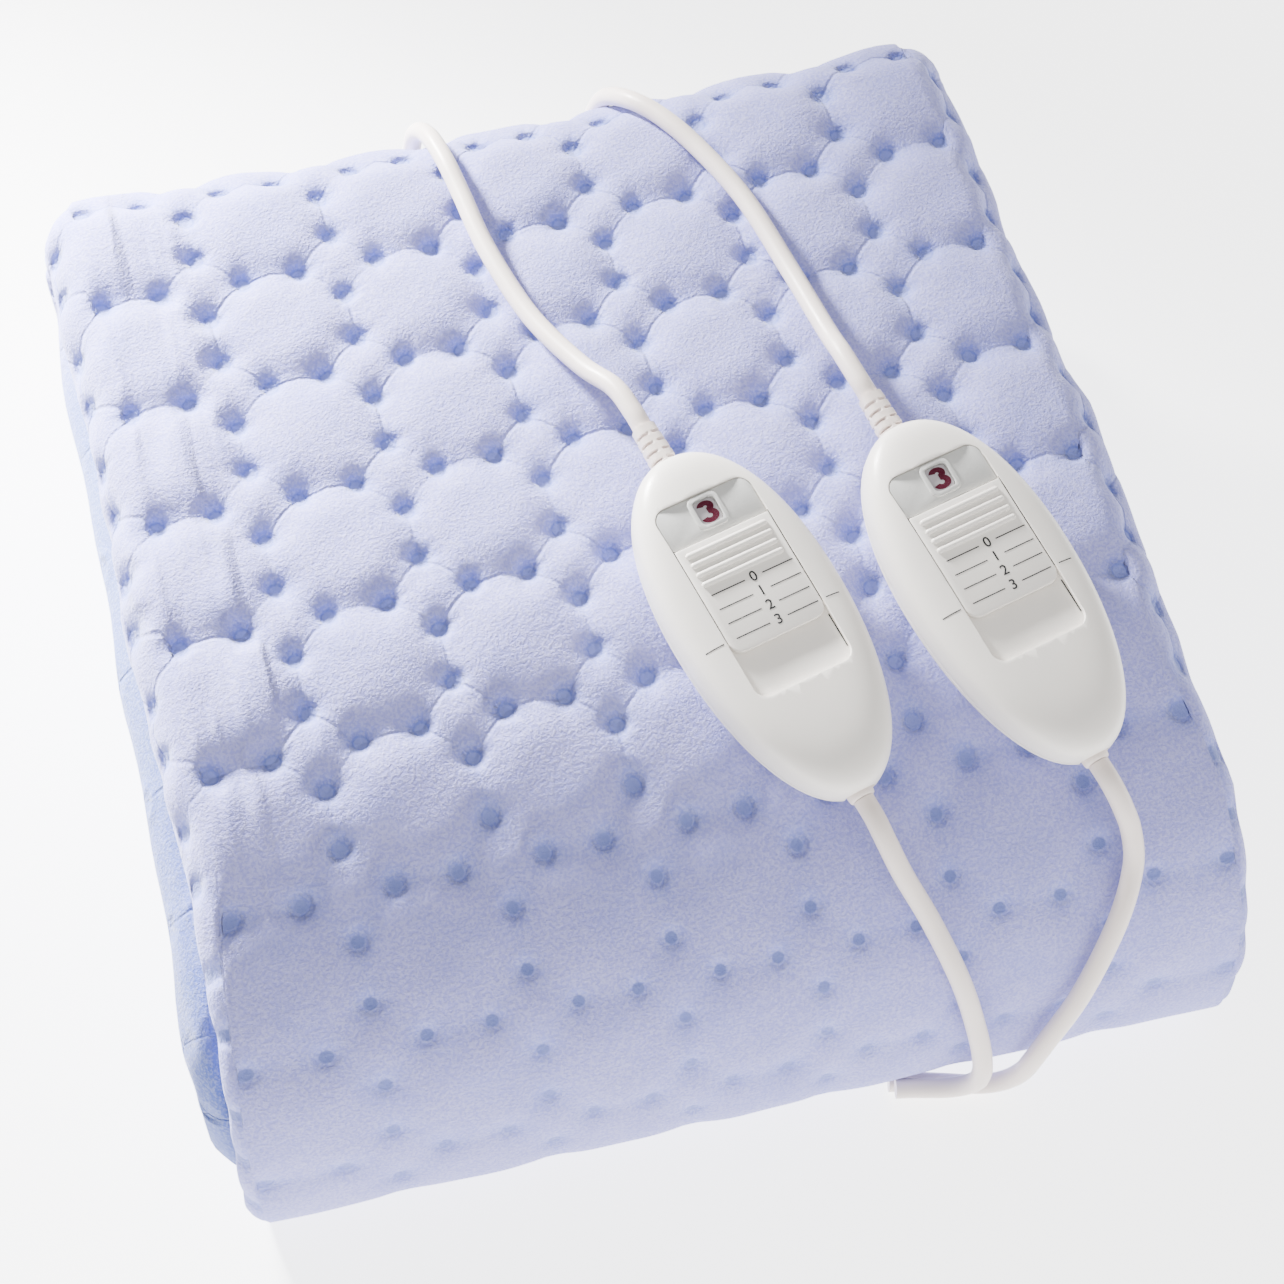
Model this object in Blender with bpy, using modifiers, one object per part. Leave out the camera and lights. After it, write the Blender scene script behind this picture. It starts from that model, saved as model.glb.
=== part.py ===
"""Electric heated blanket, folded into a pack, with two hand controls lying on it.

Metres, +Z up. The pack stands on z = 0 with its rounded front fold at -Y and its left side at -X.
Places on the cloth are given in pitches of its quilting: i runs along +X and j runs towards -Y.
"""
import math

import bmesh
import bpy
import numpy as np
from mathutils import Matrix, Vector

MM = 0.001
GAP = 0.3 * MM  # between pieces that touch

# ---- the cloth, in pitches of the quilting unless a name says otherwise ----
PITCH = 44 * MM
DOT = 1 / (1 + math.sqrt(2)) / 2  # a spot weld lies this far from the middle of a pad's side
CENTRE_I, CENTRE_J = 1.910, 2.047  # lattice point above the middle of the pack
TOP_START_J = -1.13  # where the flat top begins, at the back fold
# The slope of the pack's outer face, from the top forwards, down the front fold and under it.
SLOPE = (  # (distance along the cloth, degrees below level)
    (-1.3, 0),
    (2.0, 0),
    (3.0, 5),
    (4.0, 15),
    (5.0, 28),
    (5.5, 41),
    (6.0, 63),
    (6.5, 76),
    (7.0, 90),
    (7.35, 120),
    (7.6, 160),
    (7.75, 180),
    (8.3, 180),
)
UNDER_START = 7.75  # from here on the outer face lies flat on the surface below
FIRST_ROW = 7.95  # the first row that is placed by the slope, just past that
FOCUS_J = 4.9  # the front folds turn about a line here, half way up
# Rows without quilting: of the two lower passes from their free ends, and of the inner pass.
UNDER_ROWS = (-1.6, 0.6, 2.6, 4.2)
INNER_ROWS = (-0.4, 1.4, 3.0, 4.1, 4.7, 5.2, 5.65, 6.1, 6.6, 7.15, 7.65, 8.28)
WRAP_GAP = 2.0 * MM  # between one pass of the folded strip and the next
FOLD_SLACK = 3.4 * MM  # radius of the space left inside each fold
HEM_GAP = 1.6 * MM  # between the two layers of one pass
HEM_SPLIT = 4 * MM  # between the two hems that meet at mid width
BEND_SHARE = 0.27  # the outer pass takes this share of the thickness at the front fold, else a half
BEND_RAMP = (3.4, 5.3)  # from the one share to the other
# Where the side edges lie, along the pack.
LEFT_OUTER = ((-2.0, -1.58), (-1.0, -1.54), (5.0, -1.54), (5.9, -1.64))  # (j, i)
LEFT_INNER = ((-2.0, -1.61), (0.0, -1.70), (2.5, -1.72), (4.0, -1.78), (5.2, -1.81), (6.2, -1.78))
LEFT_UNDER_I = -1.38
RIGHT_SIDE = ((-2.0, 5.62), (-1.0, 5.55), (3.0, 5.55), (5.9, 5.62))
RIGHT_UNDER_I = 5.45
RIGHT_STEP = 0.03  # the inner passes end this far inside the outer ones on the right
EDGE_WAVE = 0.02
EDGE_FLATNESS = 0.85  # the side edges are rounded, but less deep than half a circle
EDGE_STRETCH = 0.36  # share of its thickness that the cloth loses round a side edge
LEAST_THICK = 0.8  # where the cloth leans it keeps at least this share of its thickness
FRONT_SKEW = 0.026  # the front fold runs this much forward for each unit to the right
BACK_HOLLOW = 2.2 * MM  # the back fold stands back this much at its ends and as little in the middle
RELIEF = 4.6 * MM  # crown of a quilted pad over the spot welds
FRONT_RELIEF = 0.35  # share of it that is left where the front fold stretches the cloth
FRONT_FADE = (3.6, 5.6)  # along the cloth: here the relief falls to that share
UNDER_FADE = (7.05, 7.45)  # here it falls to nothing
BACK_FADE = (-2.9, -2.2)  # here, behind, it rises from nothing
PAD_SHOULDER = 0.55  # drop from a pad's crown to its shoulder, as a share of the relief
VALLEY, SMALL_PAD = 0.36, 0.42  # height half way between two welds, and between four pads
LEFT_ARC = (30, 60, 120, 180)  # degrees round the side edge; the second is a row of welds
RIGHT_ARC = (33, 70, 125, 180)  # here the first is a row of welds
LEFT_WELDS, RIGHT_WELDS = -1.5, 5.5  # columns of those welds
LEFT_FLANK, RIGHT_FLANK = -1.35, 5.75  # columns whose height the rest of the side edges takes

CLOTH_BLUE = (0.58, 0.64, 0.86, 1)
WARM_WHITE = (0.86, 0.85, 0.82, 1)
LIGHT_GREY = (0.66, 0.66, 0.65, 1)
WINDOW_GREY = (0.55, 0.52, 0.53, 1)
PIN_METAL = (0.75, 0.73, 0.68, 1)

# ---- the hand controls, in the frame of each: +Y to its cable guard, +Z out of its face ----
BODY_LENGTH, BODY_WIDTH = 120 * MM, 55 * MM
ABOVE_SEAM, BELOW_SEAM = 14.0 * MM, 9.5 * MM
# Below 1, the first of each pair fills out the plan and the second flattens the face.
EGG_FACE, EGG_BACK = (0.36, 0.5), (0.62, 0.85)
EGG_ENDS, EGG_SIDES = 0.9, 0.95  # below 1 they square the ends and the sides a little
EGG_TAPER = 0.06  # the guard's end is this much wider than the middle
PANEL_WIDTH, PANEL_BOTTOM, PANEL_TOP = 33 * MM, -24.9 * MM, 42.7 * MM
PANEL_RADIUS = 4.5 * MM
PANEL_FLOOR = 11.6 * MM  # over the seam
STRIP_LEVEL, SLIDER_LEVEL = 12.4 * MM, 13.6 * MM  # upper faces, over the seam
STRIP_BOTTOM, SLIDER_TOP, SLIDER_BOTTOM = 28.7 * MM, 28.1 * MM, -8.9 * MM
SIDE_PLAY = 0.4 * MM
RIDGE_COUNT, RIDGE_PITCH, RIDGE_FIRST = 4, 3.4 * MM, 25.1 * MM
RIDGE_LENGTH, RIDGE_RADIUS = 28 * MM, 1.0 * MM
WINDOW_Y, WINDOW_WIDTH, WINDOW_HEIGHT = 36.3 * MM, 7.6 * MM, 8.6 * MM
WINDOW_RADIUS, BEZEL_RADIUS = 1.8 * MM, 2.6 * MM
BEZEL_WALL, BEZEL_RISE = 1.4 * MM, 0.8 * MM
PANE_DEPTH = 0.2 * MM  # under the strip's face
CORD_D = 6.5 * MM
GUARD_LENGTH, GUARD_WIDTH, GUARD_TIP = 21 * MM, 9.6 * MM, 8.0 * MM
GUARD_START, GUARD_SOCKET = 53 * MM, 14 * MM  # the sockets' lengths reach past the housing
COLLAR_LENGTH, COLLAR_WIDTH, COLLAR_TIP = 7 * MM, 9.4 * MM, 8.0 * MM
COLLAR_START, COLLAR_SOCKET = -54 * MM, 13 * MM
CUT_PAST = 5 * MM  # a cutter runs this far past the face that it cuts
CONTROLS = (  # (name, i, j, height of the seam, heading, tilt to the front, both in degrees)
    ("left", 2.603, 3.45, 128.8 * MM, 13.5, 9.0),
    ("right", 4.235, 3.578, 127.9 * MM, 13.5, 9.5),
)

# ---- the cords ----
ROUTE_STEPS = 20  # from one point of a route to the next
TUBE_STEP = 2.4 * CORD_D  # between the rings of a cord's solid
HANK_FOLD = 3 * CORD_D  # radius of the inner turns' ends
HANK_RUN = 13 * CORD_D
HANK_LEVELS = 2
HANK_UNDER = 1.6 * MM  # the tie runs under it
HANK_Y = 192.5 * MM
TIE_WIDTH, TIE_THICKNESS = 6 * MM, 1.0 * MM
PLUG_LENGTH, PLUG_WIDTH, PLUG_HEIGHT = 36 * MM, 37 * MM, 14 * MM
PLUG_BACK_WIDTH, PLUG_SHOULDER, PLUG_ROUND = 17 * MM, 16.2 * MM, 2.5 * MM
PIN_LENGTH, PIN_D, PIN_SPACING = 19 * MM, 4 * MM, 18.6 * MM
PLUG_GUARD, PLUG_GUARD_WIDTH = 22 * MM, 10 * MM
PLUG_SHIFT = 6 * MM  # from the middle of the hank to the tip of the plug's guard, along
PLUG_OFFSET = 3.5 * MM  # and across
HANKS = (  # (name, middle, way to the plug's pins, the tie's place)
    ("left", -68 * MM, -1, 39 * MM),
    ("right", 77 * MM, 1, -39 * MM),
)
MAINS_ROUTES = {  # (x, y, z) in millimetres, from the control over the back fold to the hank
    "left": (
        (13.3, 9.9, 140.5),
        (11.8, 16.2, 141.5),
        (8.8, 27.5, 140.6),
        (2.1, 43.2, 134.4),
        (-7.5, 69.7, 129.6),
        (-14.2, 100.2, 128.8),
        (-16.8, 125.1, 128.8),
        (-18.7, 142.0, 128.4),
        (-20.8, 158.2, 123.4),
        (-22.6, 171.6, 109.8),
        (-23.8, 177.0, 92.0),
        (-24.6, 179.0, 75.0),
        (-27.0, 185.0, 57.0),
        (-33.0, 195.0, 41.0),
        (-43.0, 206.0, 30.5),
        (-56.0, 214.0, 23.0),
        (-72.0, 218.2, 18.8),
        (-92.0, 218.5, 18.2),
    ),
    "right": (
        (85.1, 4.2, 140.2),
        (83.6, 10.4, 141.3),
        (82.0, 22.5, 140.3),
        (81.6, 36.0, 135.3),
        (79.3, 66.5, 129.8),
        (74.0, 99.5, 128.8),
        (65.6, 124.3, 128.8),
        (57.3, 141.5, 128.6),
        (49.8, 154.5, 125.4),
        (44.8, 168.0, 114.0),
        (42.6, 176.0, 97.0),
        (42.8, 179.0, 79.0),
        (46.5, 185.0, 60.0),
        (53.0, 194.0, 44.0),
        (63.0, 205.0, 30.0),
        (76.0, 213.5, 21.5),
        (89.0, 217.8, 18.6),
        (101.0, 218.5, 18.2),
    ),
}
TAIL_ROUTES = {  # from the hank to the guard of the plug
    "left": (
        (-33.4, 212.0, 18.2),
        (-40.2, 211.1, 18.4),
        (-46.4, 208.3, 19.0),
        (-51.7, 204.0, 20.0),
        (-57.0, 199.7, 21.1),
        (-63.2, 196.9, 21.7),
        (-69.0, 196.0, 21.9),
        (-73.7, 196.0, 21.9),
    ),
    "right": (
        (42.4, 212.0, 18.2),
        (49.2, 211.1, 18.4),
        (55.4, 208.3, 19.0),
        (60.7, 204.0, 20.0),
        (66.0, 199.7, 21.1),
        (72.2, 196.9, 21.7),
        (78.0, 196.0, 21.9),
        (82.7, 196.0, 21.9),
    ),
}
BLANKET_ROUTES = {  # from the control down the front fold and in under it
    "left": (
        (44.7, -120.9, 119.1),
        (46.2, -127.1, 118.1),
        (48.1, -133.0, 113.9),
        (52.0, -140.6, 104.2),
        (59.3, -151.0, 88.5),
        (66.6, -164.2, 69.5),
        (71.8, -172.8, 47.5),
        (74.0, -177.2, 33.0),
        (74.2, -178.2, 24.3),
        (73.1, -177.8, 18.9),
        (70.1, -176.5, 14.4),
        (65.6, -174.8, 11.4),
        (60.2, -173.0, 10.3),
        (55.0, -171.6, 10.3),
        (50.0, -170.5, 10.3),
    ),
    "right": (
        (116.5, -126.5, 117.7),
        (118.0, -132.7, 116.7),
        (120.6, -138.4, 111.2),
        (123.4, -143.6, 102.0),
        (123.6, -150.2, 90.5),
        (116.8, -161.0, 77.5),
        (105.3, -171.6, 55.5),
        (95.0, -176.8, 35.5),
        (91.2, -178.0, 24.5),
        (89.6, -177.8, 17.5),
        (86.4, -176.7, 10.6),
        (81.2, -175.0, 5.7),
        (75.0, -172.8, 3.7),
        (66.0, -169.8, 3.6),
        (58.0, -167.4, 3.6),
        (50.0, -165.4, 3.6),
    ),
}


def world(i, j, z=0.0):
    """A lattice place on the pack's plan, in metres."""
    return Vector(((i - CENTRE_I) * PITCH, (CENTRE_J - j) * PITCH, z))


def material(name, colour, roughness, metallic=0.0):
    made = bpy.data.materials.new(name)
    made.use_nodes = True
    shader = made.node_tree.nodes["Principled BSDF"]
    shader.inputs["Base Color"].default_value = colour
    shader.inputs["Roughness"].default_value = roughness
    shader.inputs["Metallic"].default_value = metallic
    return made


def add(name, mesh_or_curve, colour, roughness=0.5, metallic=0.0, parent=None):
    """Put a mesh or a curve in the parts' collection, with a material of its own."""
    made = bpy.data.objects.new(name, mesh_or_curve)
    made.data.materials.append(material(name, colour, roughness, metallic))
    bpy.data.collections["electric_heated_blanket"].objects.link(made)
    made.parent = parent
    return made


def cutter(name, mesh, parent=None):
    made = bpy.data.objects.new(name, mesh)
    made.hide_render = True
    made.display_type = "WIRE"
    bpy.data.collections["cutters"].objects.link(made)
    made.parent = parent
    return made


def boolean(target, tool, operation="DIFFERENCE"):
    step = target.modifiers.new(operation.lower(), "BOOLEAN")
    step.operation = operation
    step.solver = "EXACT"
    step.object = tool


def mesh_from(bm, name, smooth_angle=35):
    bmesh.ops.recalc_face_normals(bm, faces=bm.faces)
    mesh = bpy.data.meshes.new(name)
    bm.to_mesh(mesh)
    bm.free()
    mesh.shade_smooth()
    mesh.set_sharp_from_angle(angle=math.radians(smooth_angle))
    return mesh


# ---------------------------------------------------------------- the folded cloth


class Profile:
    """The pack's outer face seen from the side, by distance along the cloth from the back."""

    def __init__(self):
        self.s = np.linspace(SLOPE[0][0], SLOPE[-1][0], 1861)
        step = self.s[1] - self.s[0]
        knots, degrees = zip(*SLOPE)
        slope = np.radians(np.interp(self.s, knots, degrees))
        forward = np.cumsum(np.cos(slope)) * step
        down = np.cumsum(np.sin(slope)) * step
        start = np.searchsorted(self.s, TOP_START_J)
        self.j = forward - forward[start] + TOP_START_J
        self.drop = (down - down[start]) * PITCH
        self.height = self.drop[-1]

    def point(self, s):
        """(j, z) of the outer face."""
        return np.interp(s, self.s, self.j), self.height - np.interp(s, self.s, self.drop)

    def top(self, j):
        """Height of the outer face over lattice row j, behind the front fold."""
        upper = self.s < 6
        return self.height - np.interp(j, self.j[upper], self.drop[upper])


def to_plane(j, z):
    """A lattice row and a height, as a point of the pack's side view: x is +Y in the world."""
    return Vector(((CENTRE_J - j) * PITCH, z))


def middle(profile, j):
    """The line half way up that the passes are folded about; it ends at the front folds' focus."""
    j = min(j, FOCUS_J)
    return to_plane(j, profile.top(j) / 2)


def outer_share(j):
    """The share of the thickness to the middle line that the outer pass takes over row j."""
    return 0.5 + (BEND_SHARE - 0.5) * smooth_step(j, *BEND_RAMP)


def outer_station(profile, s):
    """Where the strip's outer face lies in the outer pass, the way into it, and its thickness."""
    j, z = profile.point(s)
    face = to_plane(j, z)
    inward = middle(profile, j) - face
    depth = inward.length
    return face, inward.normalized(), depth * outer_share(j) - WRAP_GAP / 2


def inner_station(profile, s):
    """The same for the inner pass, whose outer face looks at the middle line."""
    j, z = profile.point(s)
    core = middle(profile, j)
    outward = to_plane(j, z) - core
    depth = outward.length
    outward.normalize()
    start = WRAP_GAP / 2 + FOLD_SLACK * smooth_step(j, FOCUS_J - 0.8, FOCUS_J)
    return core + outward * start, outward, depth * (1 - outer_share(j)) - WRAP_GAP / 2 - start


def back_station(profile, turn):
    """The same round the back fold, by the turn from the top pass to the one below it."""
    face, inward, thickness = outer_station(profile, TOP_START_J)
    lower, _, lower_thickness = inner_station(profile, TOP_START_J)
    upper_radius = thickness + WRAP_GAP / 4
    centre = face + inward * upper_radius
    radius = upper_radius + (centre.y - lower.y - upper_radius) * (1 - math.cos(turn)) / 2
    out = Vector((math.sin(turn), math.cos(turn)))
    share = turn / math.pi
    thickness -= FOLD_SLACK * math.sqrt(max(math.sin(turn), 0))
    return centre + out * radius, -out, thickness + (lower_thickness - thickness) * share


def lattice_between(low, high):
    """The quilting's own places between two limits, in rising order, rows and columns alike."""
    parts = (-0.5, -DOT, 0, DOT)
    places = [k + part for k in range(math.floor(low), math.ceil(high) + 1) for part in parts]
    return [place for place in places if low < place < high]


def rows(profile):
    """The strip's cross rows from its lower free end to its inner one.

    Each is (face point, way in, thickness, lattice row or None, place along the pack, which pass).
    """
    made = []
    for j in (*UNDER_ROWS, FOCUS_J):
        thickness = middle(profile, j).y * outer_share(j) - WRAP_GAP / 2
        made.append((to_plane(j, 0), Vector((0, 1)), thickness, None, j, "under"))
    for s in (FIRST_ROW, *reversed(lattice_between(TOP_START_J, UNDER_START))):
        made.append((*outer_station(profile, s), s, profile.point(s)[0], "outer"))
    radius = profile.height / 4 / PITCH
    end = TOP_START_J - math.pi * radius
    for s in (*reversed(lattice_between(end + 0.1, TOP_START_J)), end):
        turn = (TOP_START_J - s) / radius
        j = TOP_START_J - radius * math.sin(turn)
        made.append((*back_station(profile, turn), s, j, "outer" if turn < math.pi / 2 else "inner"))
    for s in INNER_ROWS:
        made.append((*inner_station(profile, s), None, profile.point(s)[0], "inner"))
    for j in reversed(UNDER_ROWS):
        core = middle(profile, j)
        thickness = core.y * (1 - outer_share(j)) - WRAP_GAP
        made.append((core - Vector((0, WRAP_GAP / 2)), Vector((0, -1)), thickness, None, j, "inner"))
    return made


def pad_height(i, s):
    """How far a point of the quilting stands over the welds, from 0 to 1.

    The pads are octagons on a square lattice with small squares between their corners.
    """
    a, b = sorted((abs(i - round(i)), abs(s - round(s))))
    if b < 0.4:
        return 1 - PAD_SHOULDER * (a * a + b * b) / (2 * DOT * DOT)
    if a < 0.1:
        return VALLEY
    return 0 if a < 0.4 else SMALL_PAD


def ramp(value, low, high):
    return min(max((value - low) / (high - low), 0), 1)


def relief_share(s):
    """Pads stand high on the top, fade round the front fold and are flat where cloth lies on them."""
    high = 1 + (FRONT_RELIEF - 1) * ramp(s, *FRONT_FADE)
    return high * (1 - ramp(s, *UNDER_FADE)) * ramp(s, *BACK_FADE)


def smooth_step(value, low, high):
    t = ramp(value, low, high)
    return t * t * (3 - 2 * t)


def skew(x, y):
    """How far the front or the back of the pack is pulled forward at a place on its plan."""
    j = CENTRE_J - y / PITCH
    hollow = BACK_HOLLOW * (2 * (x / (3.5 * PITCH)) ** 2 - 1) * smooth_step(-j, -0.5, 1.2)
    return FRONT_SKEW * x * smooth_step(j, 3.2, 5.4) - hollow


def side_edges(place, part):
    """The lattice columns of the left and the right edge."""
    wave = EDGE_WAVE * (math.sin(2.1 * place) + 0.6 * math.sin(4.7 * place + 1))
    if part == "under":
        return LEFT_UNDER_I, RIGHT_UNDER_I
    table = LEFT_OUTER if part == "outer" else LEFT_INNER
    left = np.interp(place, *zip(*table))
    right = np.interp(place, *zip(*RIGHT_SIDE))
    return left + wave, right - wave - (RIGHT_STEP if part == "inner" else 0)


def cross_section(thickness, place, part, s):
    """The gate fold across the strip: (x, depth under the outer face, cloth thickness) a column."""
    layer = (thickness - HEM_GAP) / 2
    left, right = side_edges(place, part)
    turn = (layer + HEM_GAP) / 2
    reach = EDGE_FLATNESS * turn + (1 - EDGE_STRETCH) * layer / 2
    left_centre, right_centre = left * PITCH + reach, right * PITCH - reach
    split = (left_centre + right_centre) / 2
    lower = thickness - layer / 2
    share = 0 if s is None else relief_share(s)

    def raised(column):
        return RELIEF * share * pad_height(column, s) if share else 0

    def arc(centre, side, angle, column):
        turned = math.radians(angle)
        puff = raised(column) * max(math.cos(turned), 0)
        radius = turn + puff / 2
        across = centre + side * EDGE_FLATNESS * radius * math.sin(turned)
        cloth = (layer + puff) * (1 - EDGE_STRETCH * math.sin(turned))
        return across, thickness / 2 - radius * math.cos(turned), cloth

    made = [(x, lower, layer) for x in (split - HEM_SPLIT / 2, (split + left_centre) / 2)]
    for angle in reversed(LEFT_ARC):
        made.append(arc(left_centre, -1, angle, LEFT_WELDS if angle == LEFT_ARC[1] else LEFT_FLANK))
    for column in lattice_between(LEFT_WELDS, RIGHT_WELDS):
        puff = raised(column)
        made.append((column * PITCH, (layer - puff) / 2, layer + puff))
    for angle in RIGHT_ARC:
        made.append(arc(right_centre, 1, angle, RIGHT_WELDS if angle == RIGHT_ARC[0] else RIGHT_FLANK))
    made += [(x, lower, layer) for x in ((split + right_centre) / 2, split + HEM_SPLIT / 2)]
    return made


def blanket():
    profile = Profile()
    stations = rows(profile)
    bm = bmesh.new()
    weight = bm.verts.layers.deform.verify()
    widest = profile.height / 8 + RELIEF
    grid = []
    for face, inward, thickness, s, place, part in stations:
        line = []
        for x, depth, cloth in cross_section(thickness, place, part, s):
            at = face + inward * depth
            x -= CENTRE_I * PITCH
            vert = bm.verts.new((x, at.x - skew(x, at.x), at.y))
            line.append((vert, cloth))
        grid.append(line)
    for near, far in zip(grid, grid[1:]):
        for a, b in zip(range(len(near) - 1), range(1, len(near))):
            bm.faces.new((near[a][0], near[b][0], far[b][0], far[a][0]))
    bm.normal_update()
    for line, (face, inward, *_rest) in zip(grid, stations):
        way_in = Vector((0, inward.x, inward.y))
        for vert, cloth in line:
            lean = abs(vert.normal.dot(way_in))
            side = abs(vert.normal.x)
            vert[weight][0] = cloth * max(lean, side, LEAST_THICK) / widest
    mesh = bpy.data.meshes.new("blanket")
    bm.to_mesh(mesh)
    bm.free()
    mesh.shade_smooth()
    made = add("blanket", mesh, CLOTH_BLUE, 0.95)
    made.vertex_groups.new(name="cloth")
    solid = made.modifiers.new("cloth", "SOLIDIFY")
    solid.thickness = widest
    solid.offset = 0
    solid.vertex_group = "cloth"
    solid.use_rim = True
    return made


# ---------------------------------------------------------------- the hand controls


def egg(unit):
    """A point of the unit sphere, moved to the control's smooth egg shape."""
    depth, (fullness, crown) = (ABOVE_SEAM, EGG_FACE) if unit.z > 0 else (BELOW_SEAM, EGG_BACK)
    flat = math.hypot(unit.x, unit.y)
    if flat < 1e-6:
        return Vector((0, 0, math.copysign(depth, unit.z)))
    cosine, sine = unit.x / flat, unit.y / flat
    full = flat**fullness
    x = math.copysign(abs(cosine) ** EGG_ENDS, cosine) * full * BODY_WIDTH / 2
    y = math.copysign(abs(sine) ** EGG_SIDES, sine) * full * BODY_LENGTH / 2
    x *= 1 + EGG_TAPER * y / (BODY_LENGTH / 2)
    return Vector((x, y, math.copysign(abs(unit.z) ** crown, unit.z) * depth))


def half_body(name, upper):
    """The part of the egg above or below the seam."""
    bm = bmesh.new()
    bmesh.ops.create_uvsphere(bm, u_segments=36, v_segments=16, radius=1)
    for vert in bm.verts:
        vert.co = egg(vert.co)
    side = 1 if upper else -1
    geometry = bm.verts[:] + bm.edges[:] + bm.faces[:]
    cut = bmesh.ops.bisect_plane(
        bm, geom=geometry, plane_co=(0, 0, side * GAP / 2), plane_no=(0, 0, -side), clear_outer=True
    )
    edges = [e for e in cut["geom_cut"] if isinstance(e, bmesh.types.BMEdge)]
    bmesh.ops.edgeloop_fill(bm, edges=edges)
    return mesh_from(bm, name)


def rounded_outline(width, low, high, low_radius, high_radius, steps=5):
    """Corner points of a rectangle from low to high with rounded corners."""
    half = width / 2
    corners = (
        (half, high, high_radius, 0),
        (-half, high, high_radius, 90),
        (-half, low, low_radius, 180),
        (half, low, low_radius, 270),
    )
    points = []
    for x, y, radius, start in corners:
        if radius == 0:
            points.append((x, y))
            continue
        centre_x = x - math.copysign(radius, x)
        centre_y = y - radius if y == high else y + radius
        for k in range(steps + 1):
            angle = math.radians(start + 90 * k / steps)
            points.append((centre_x + radius * math.cos(angle), centre_y + radius * math.sin(angle)))
    return points


def plate(name, outline, bottom, top):
    """A mesh of a flat outline between two heights."""
    curve = bpy.data.curves.new(name, "CURVE")
    curve.dimensions = "2D"
    curve.fill_mode = "BOTH"
    curve.extrude = (top - bottom) / 2
    spline = curve.splines.new("POLY")
    spline.points.add(len(outline) - 1)
    for point, (x, y) in zip(spline.points, outline):
        point.co = (x, y, 0, 1)
    spline.use_cyclic_u = True
    mesh = curve_to_mesh(name, curve)
    mesh.transform(Matrix.Translation((0, 0, (top + bottom) / 2)))
    return mesh


def curve_to_mesh(name, curve):
    """The evaluated mesh of a curve, with its caps welded on."""
    holder = bpy.data.objects.new(name + "_outline", curve)
    bpy.context.scene.collection.objects.link(holder)
    bpy.context.view_layer.update()
    evaluated = holder.evaluated_get(bpy.context.evaluated_depsgraph_get())
    mesh = bpy.data.meshes.new_from_object(evaluated)
    bm = bmesh.new()
    bm.from_mesh(mesh)
    bmesh.ops.remove_doubles(bm, verts=bm.verts, dist=0.00001)
    bmesh.ops.recalc_face_normals(bm, faces=bm.faces)
    bm.to_mesh(mesh)
    bm.free()
    bpy.data.objects.remove(holder)
    bpy.data.curves.remove(curve)
    return mesh


def turned_cone(name, start, length, start_width, end_width, segments=16):
    """A tapered plug of round section along Y, from start by length, to either side."""
    bm = bmesh.new()
    bmesh.ops.create_cone(
        bm,
        cap_ends=True,
        segments=segments,
        radius1=start_width / 2,
        radius2=end_width / 2,
        depth=abs(length),
    )
    turn = Matrix.Rotation(math.radians(-90 if length > 0 else 90), 4, "X")
    placed = Matrix.Translation((0, start + length / 2, 0)) @ turn
    bmesh.ops.transform(bm, matrix=placed, verts=bm.verts)
    return mesh_from(bm, name)


def ridge(name, y):
    """One grip ridge across the slider, a bar with round ends."""
    bm = bmesh.new()
    bmesh.ops.create_uvsphere(bm, u_segments=12, v_segments=8, radius=RIDGE_RADIUS)
    bmesh.ops.rotate(bm, matrix=Matrix.Rotation(math.radians(90), 3, "Y"), verts=bm.verts)
    reach = RIDGE_LENGTH / 2 - RIDGE_RADIUS
    for vert in bm.verts:
        vert.co.x += math.copysign(reach, vert.co.x) if abs(vert.co.x) > 1e-7 else -reach
    bmesh.ops.translate(bm, vec=(0, y, SLIDER_LEVEL), verts=bm.verts)
    return mesh_from(bm, name)


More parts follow.
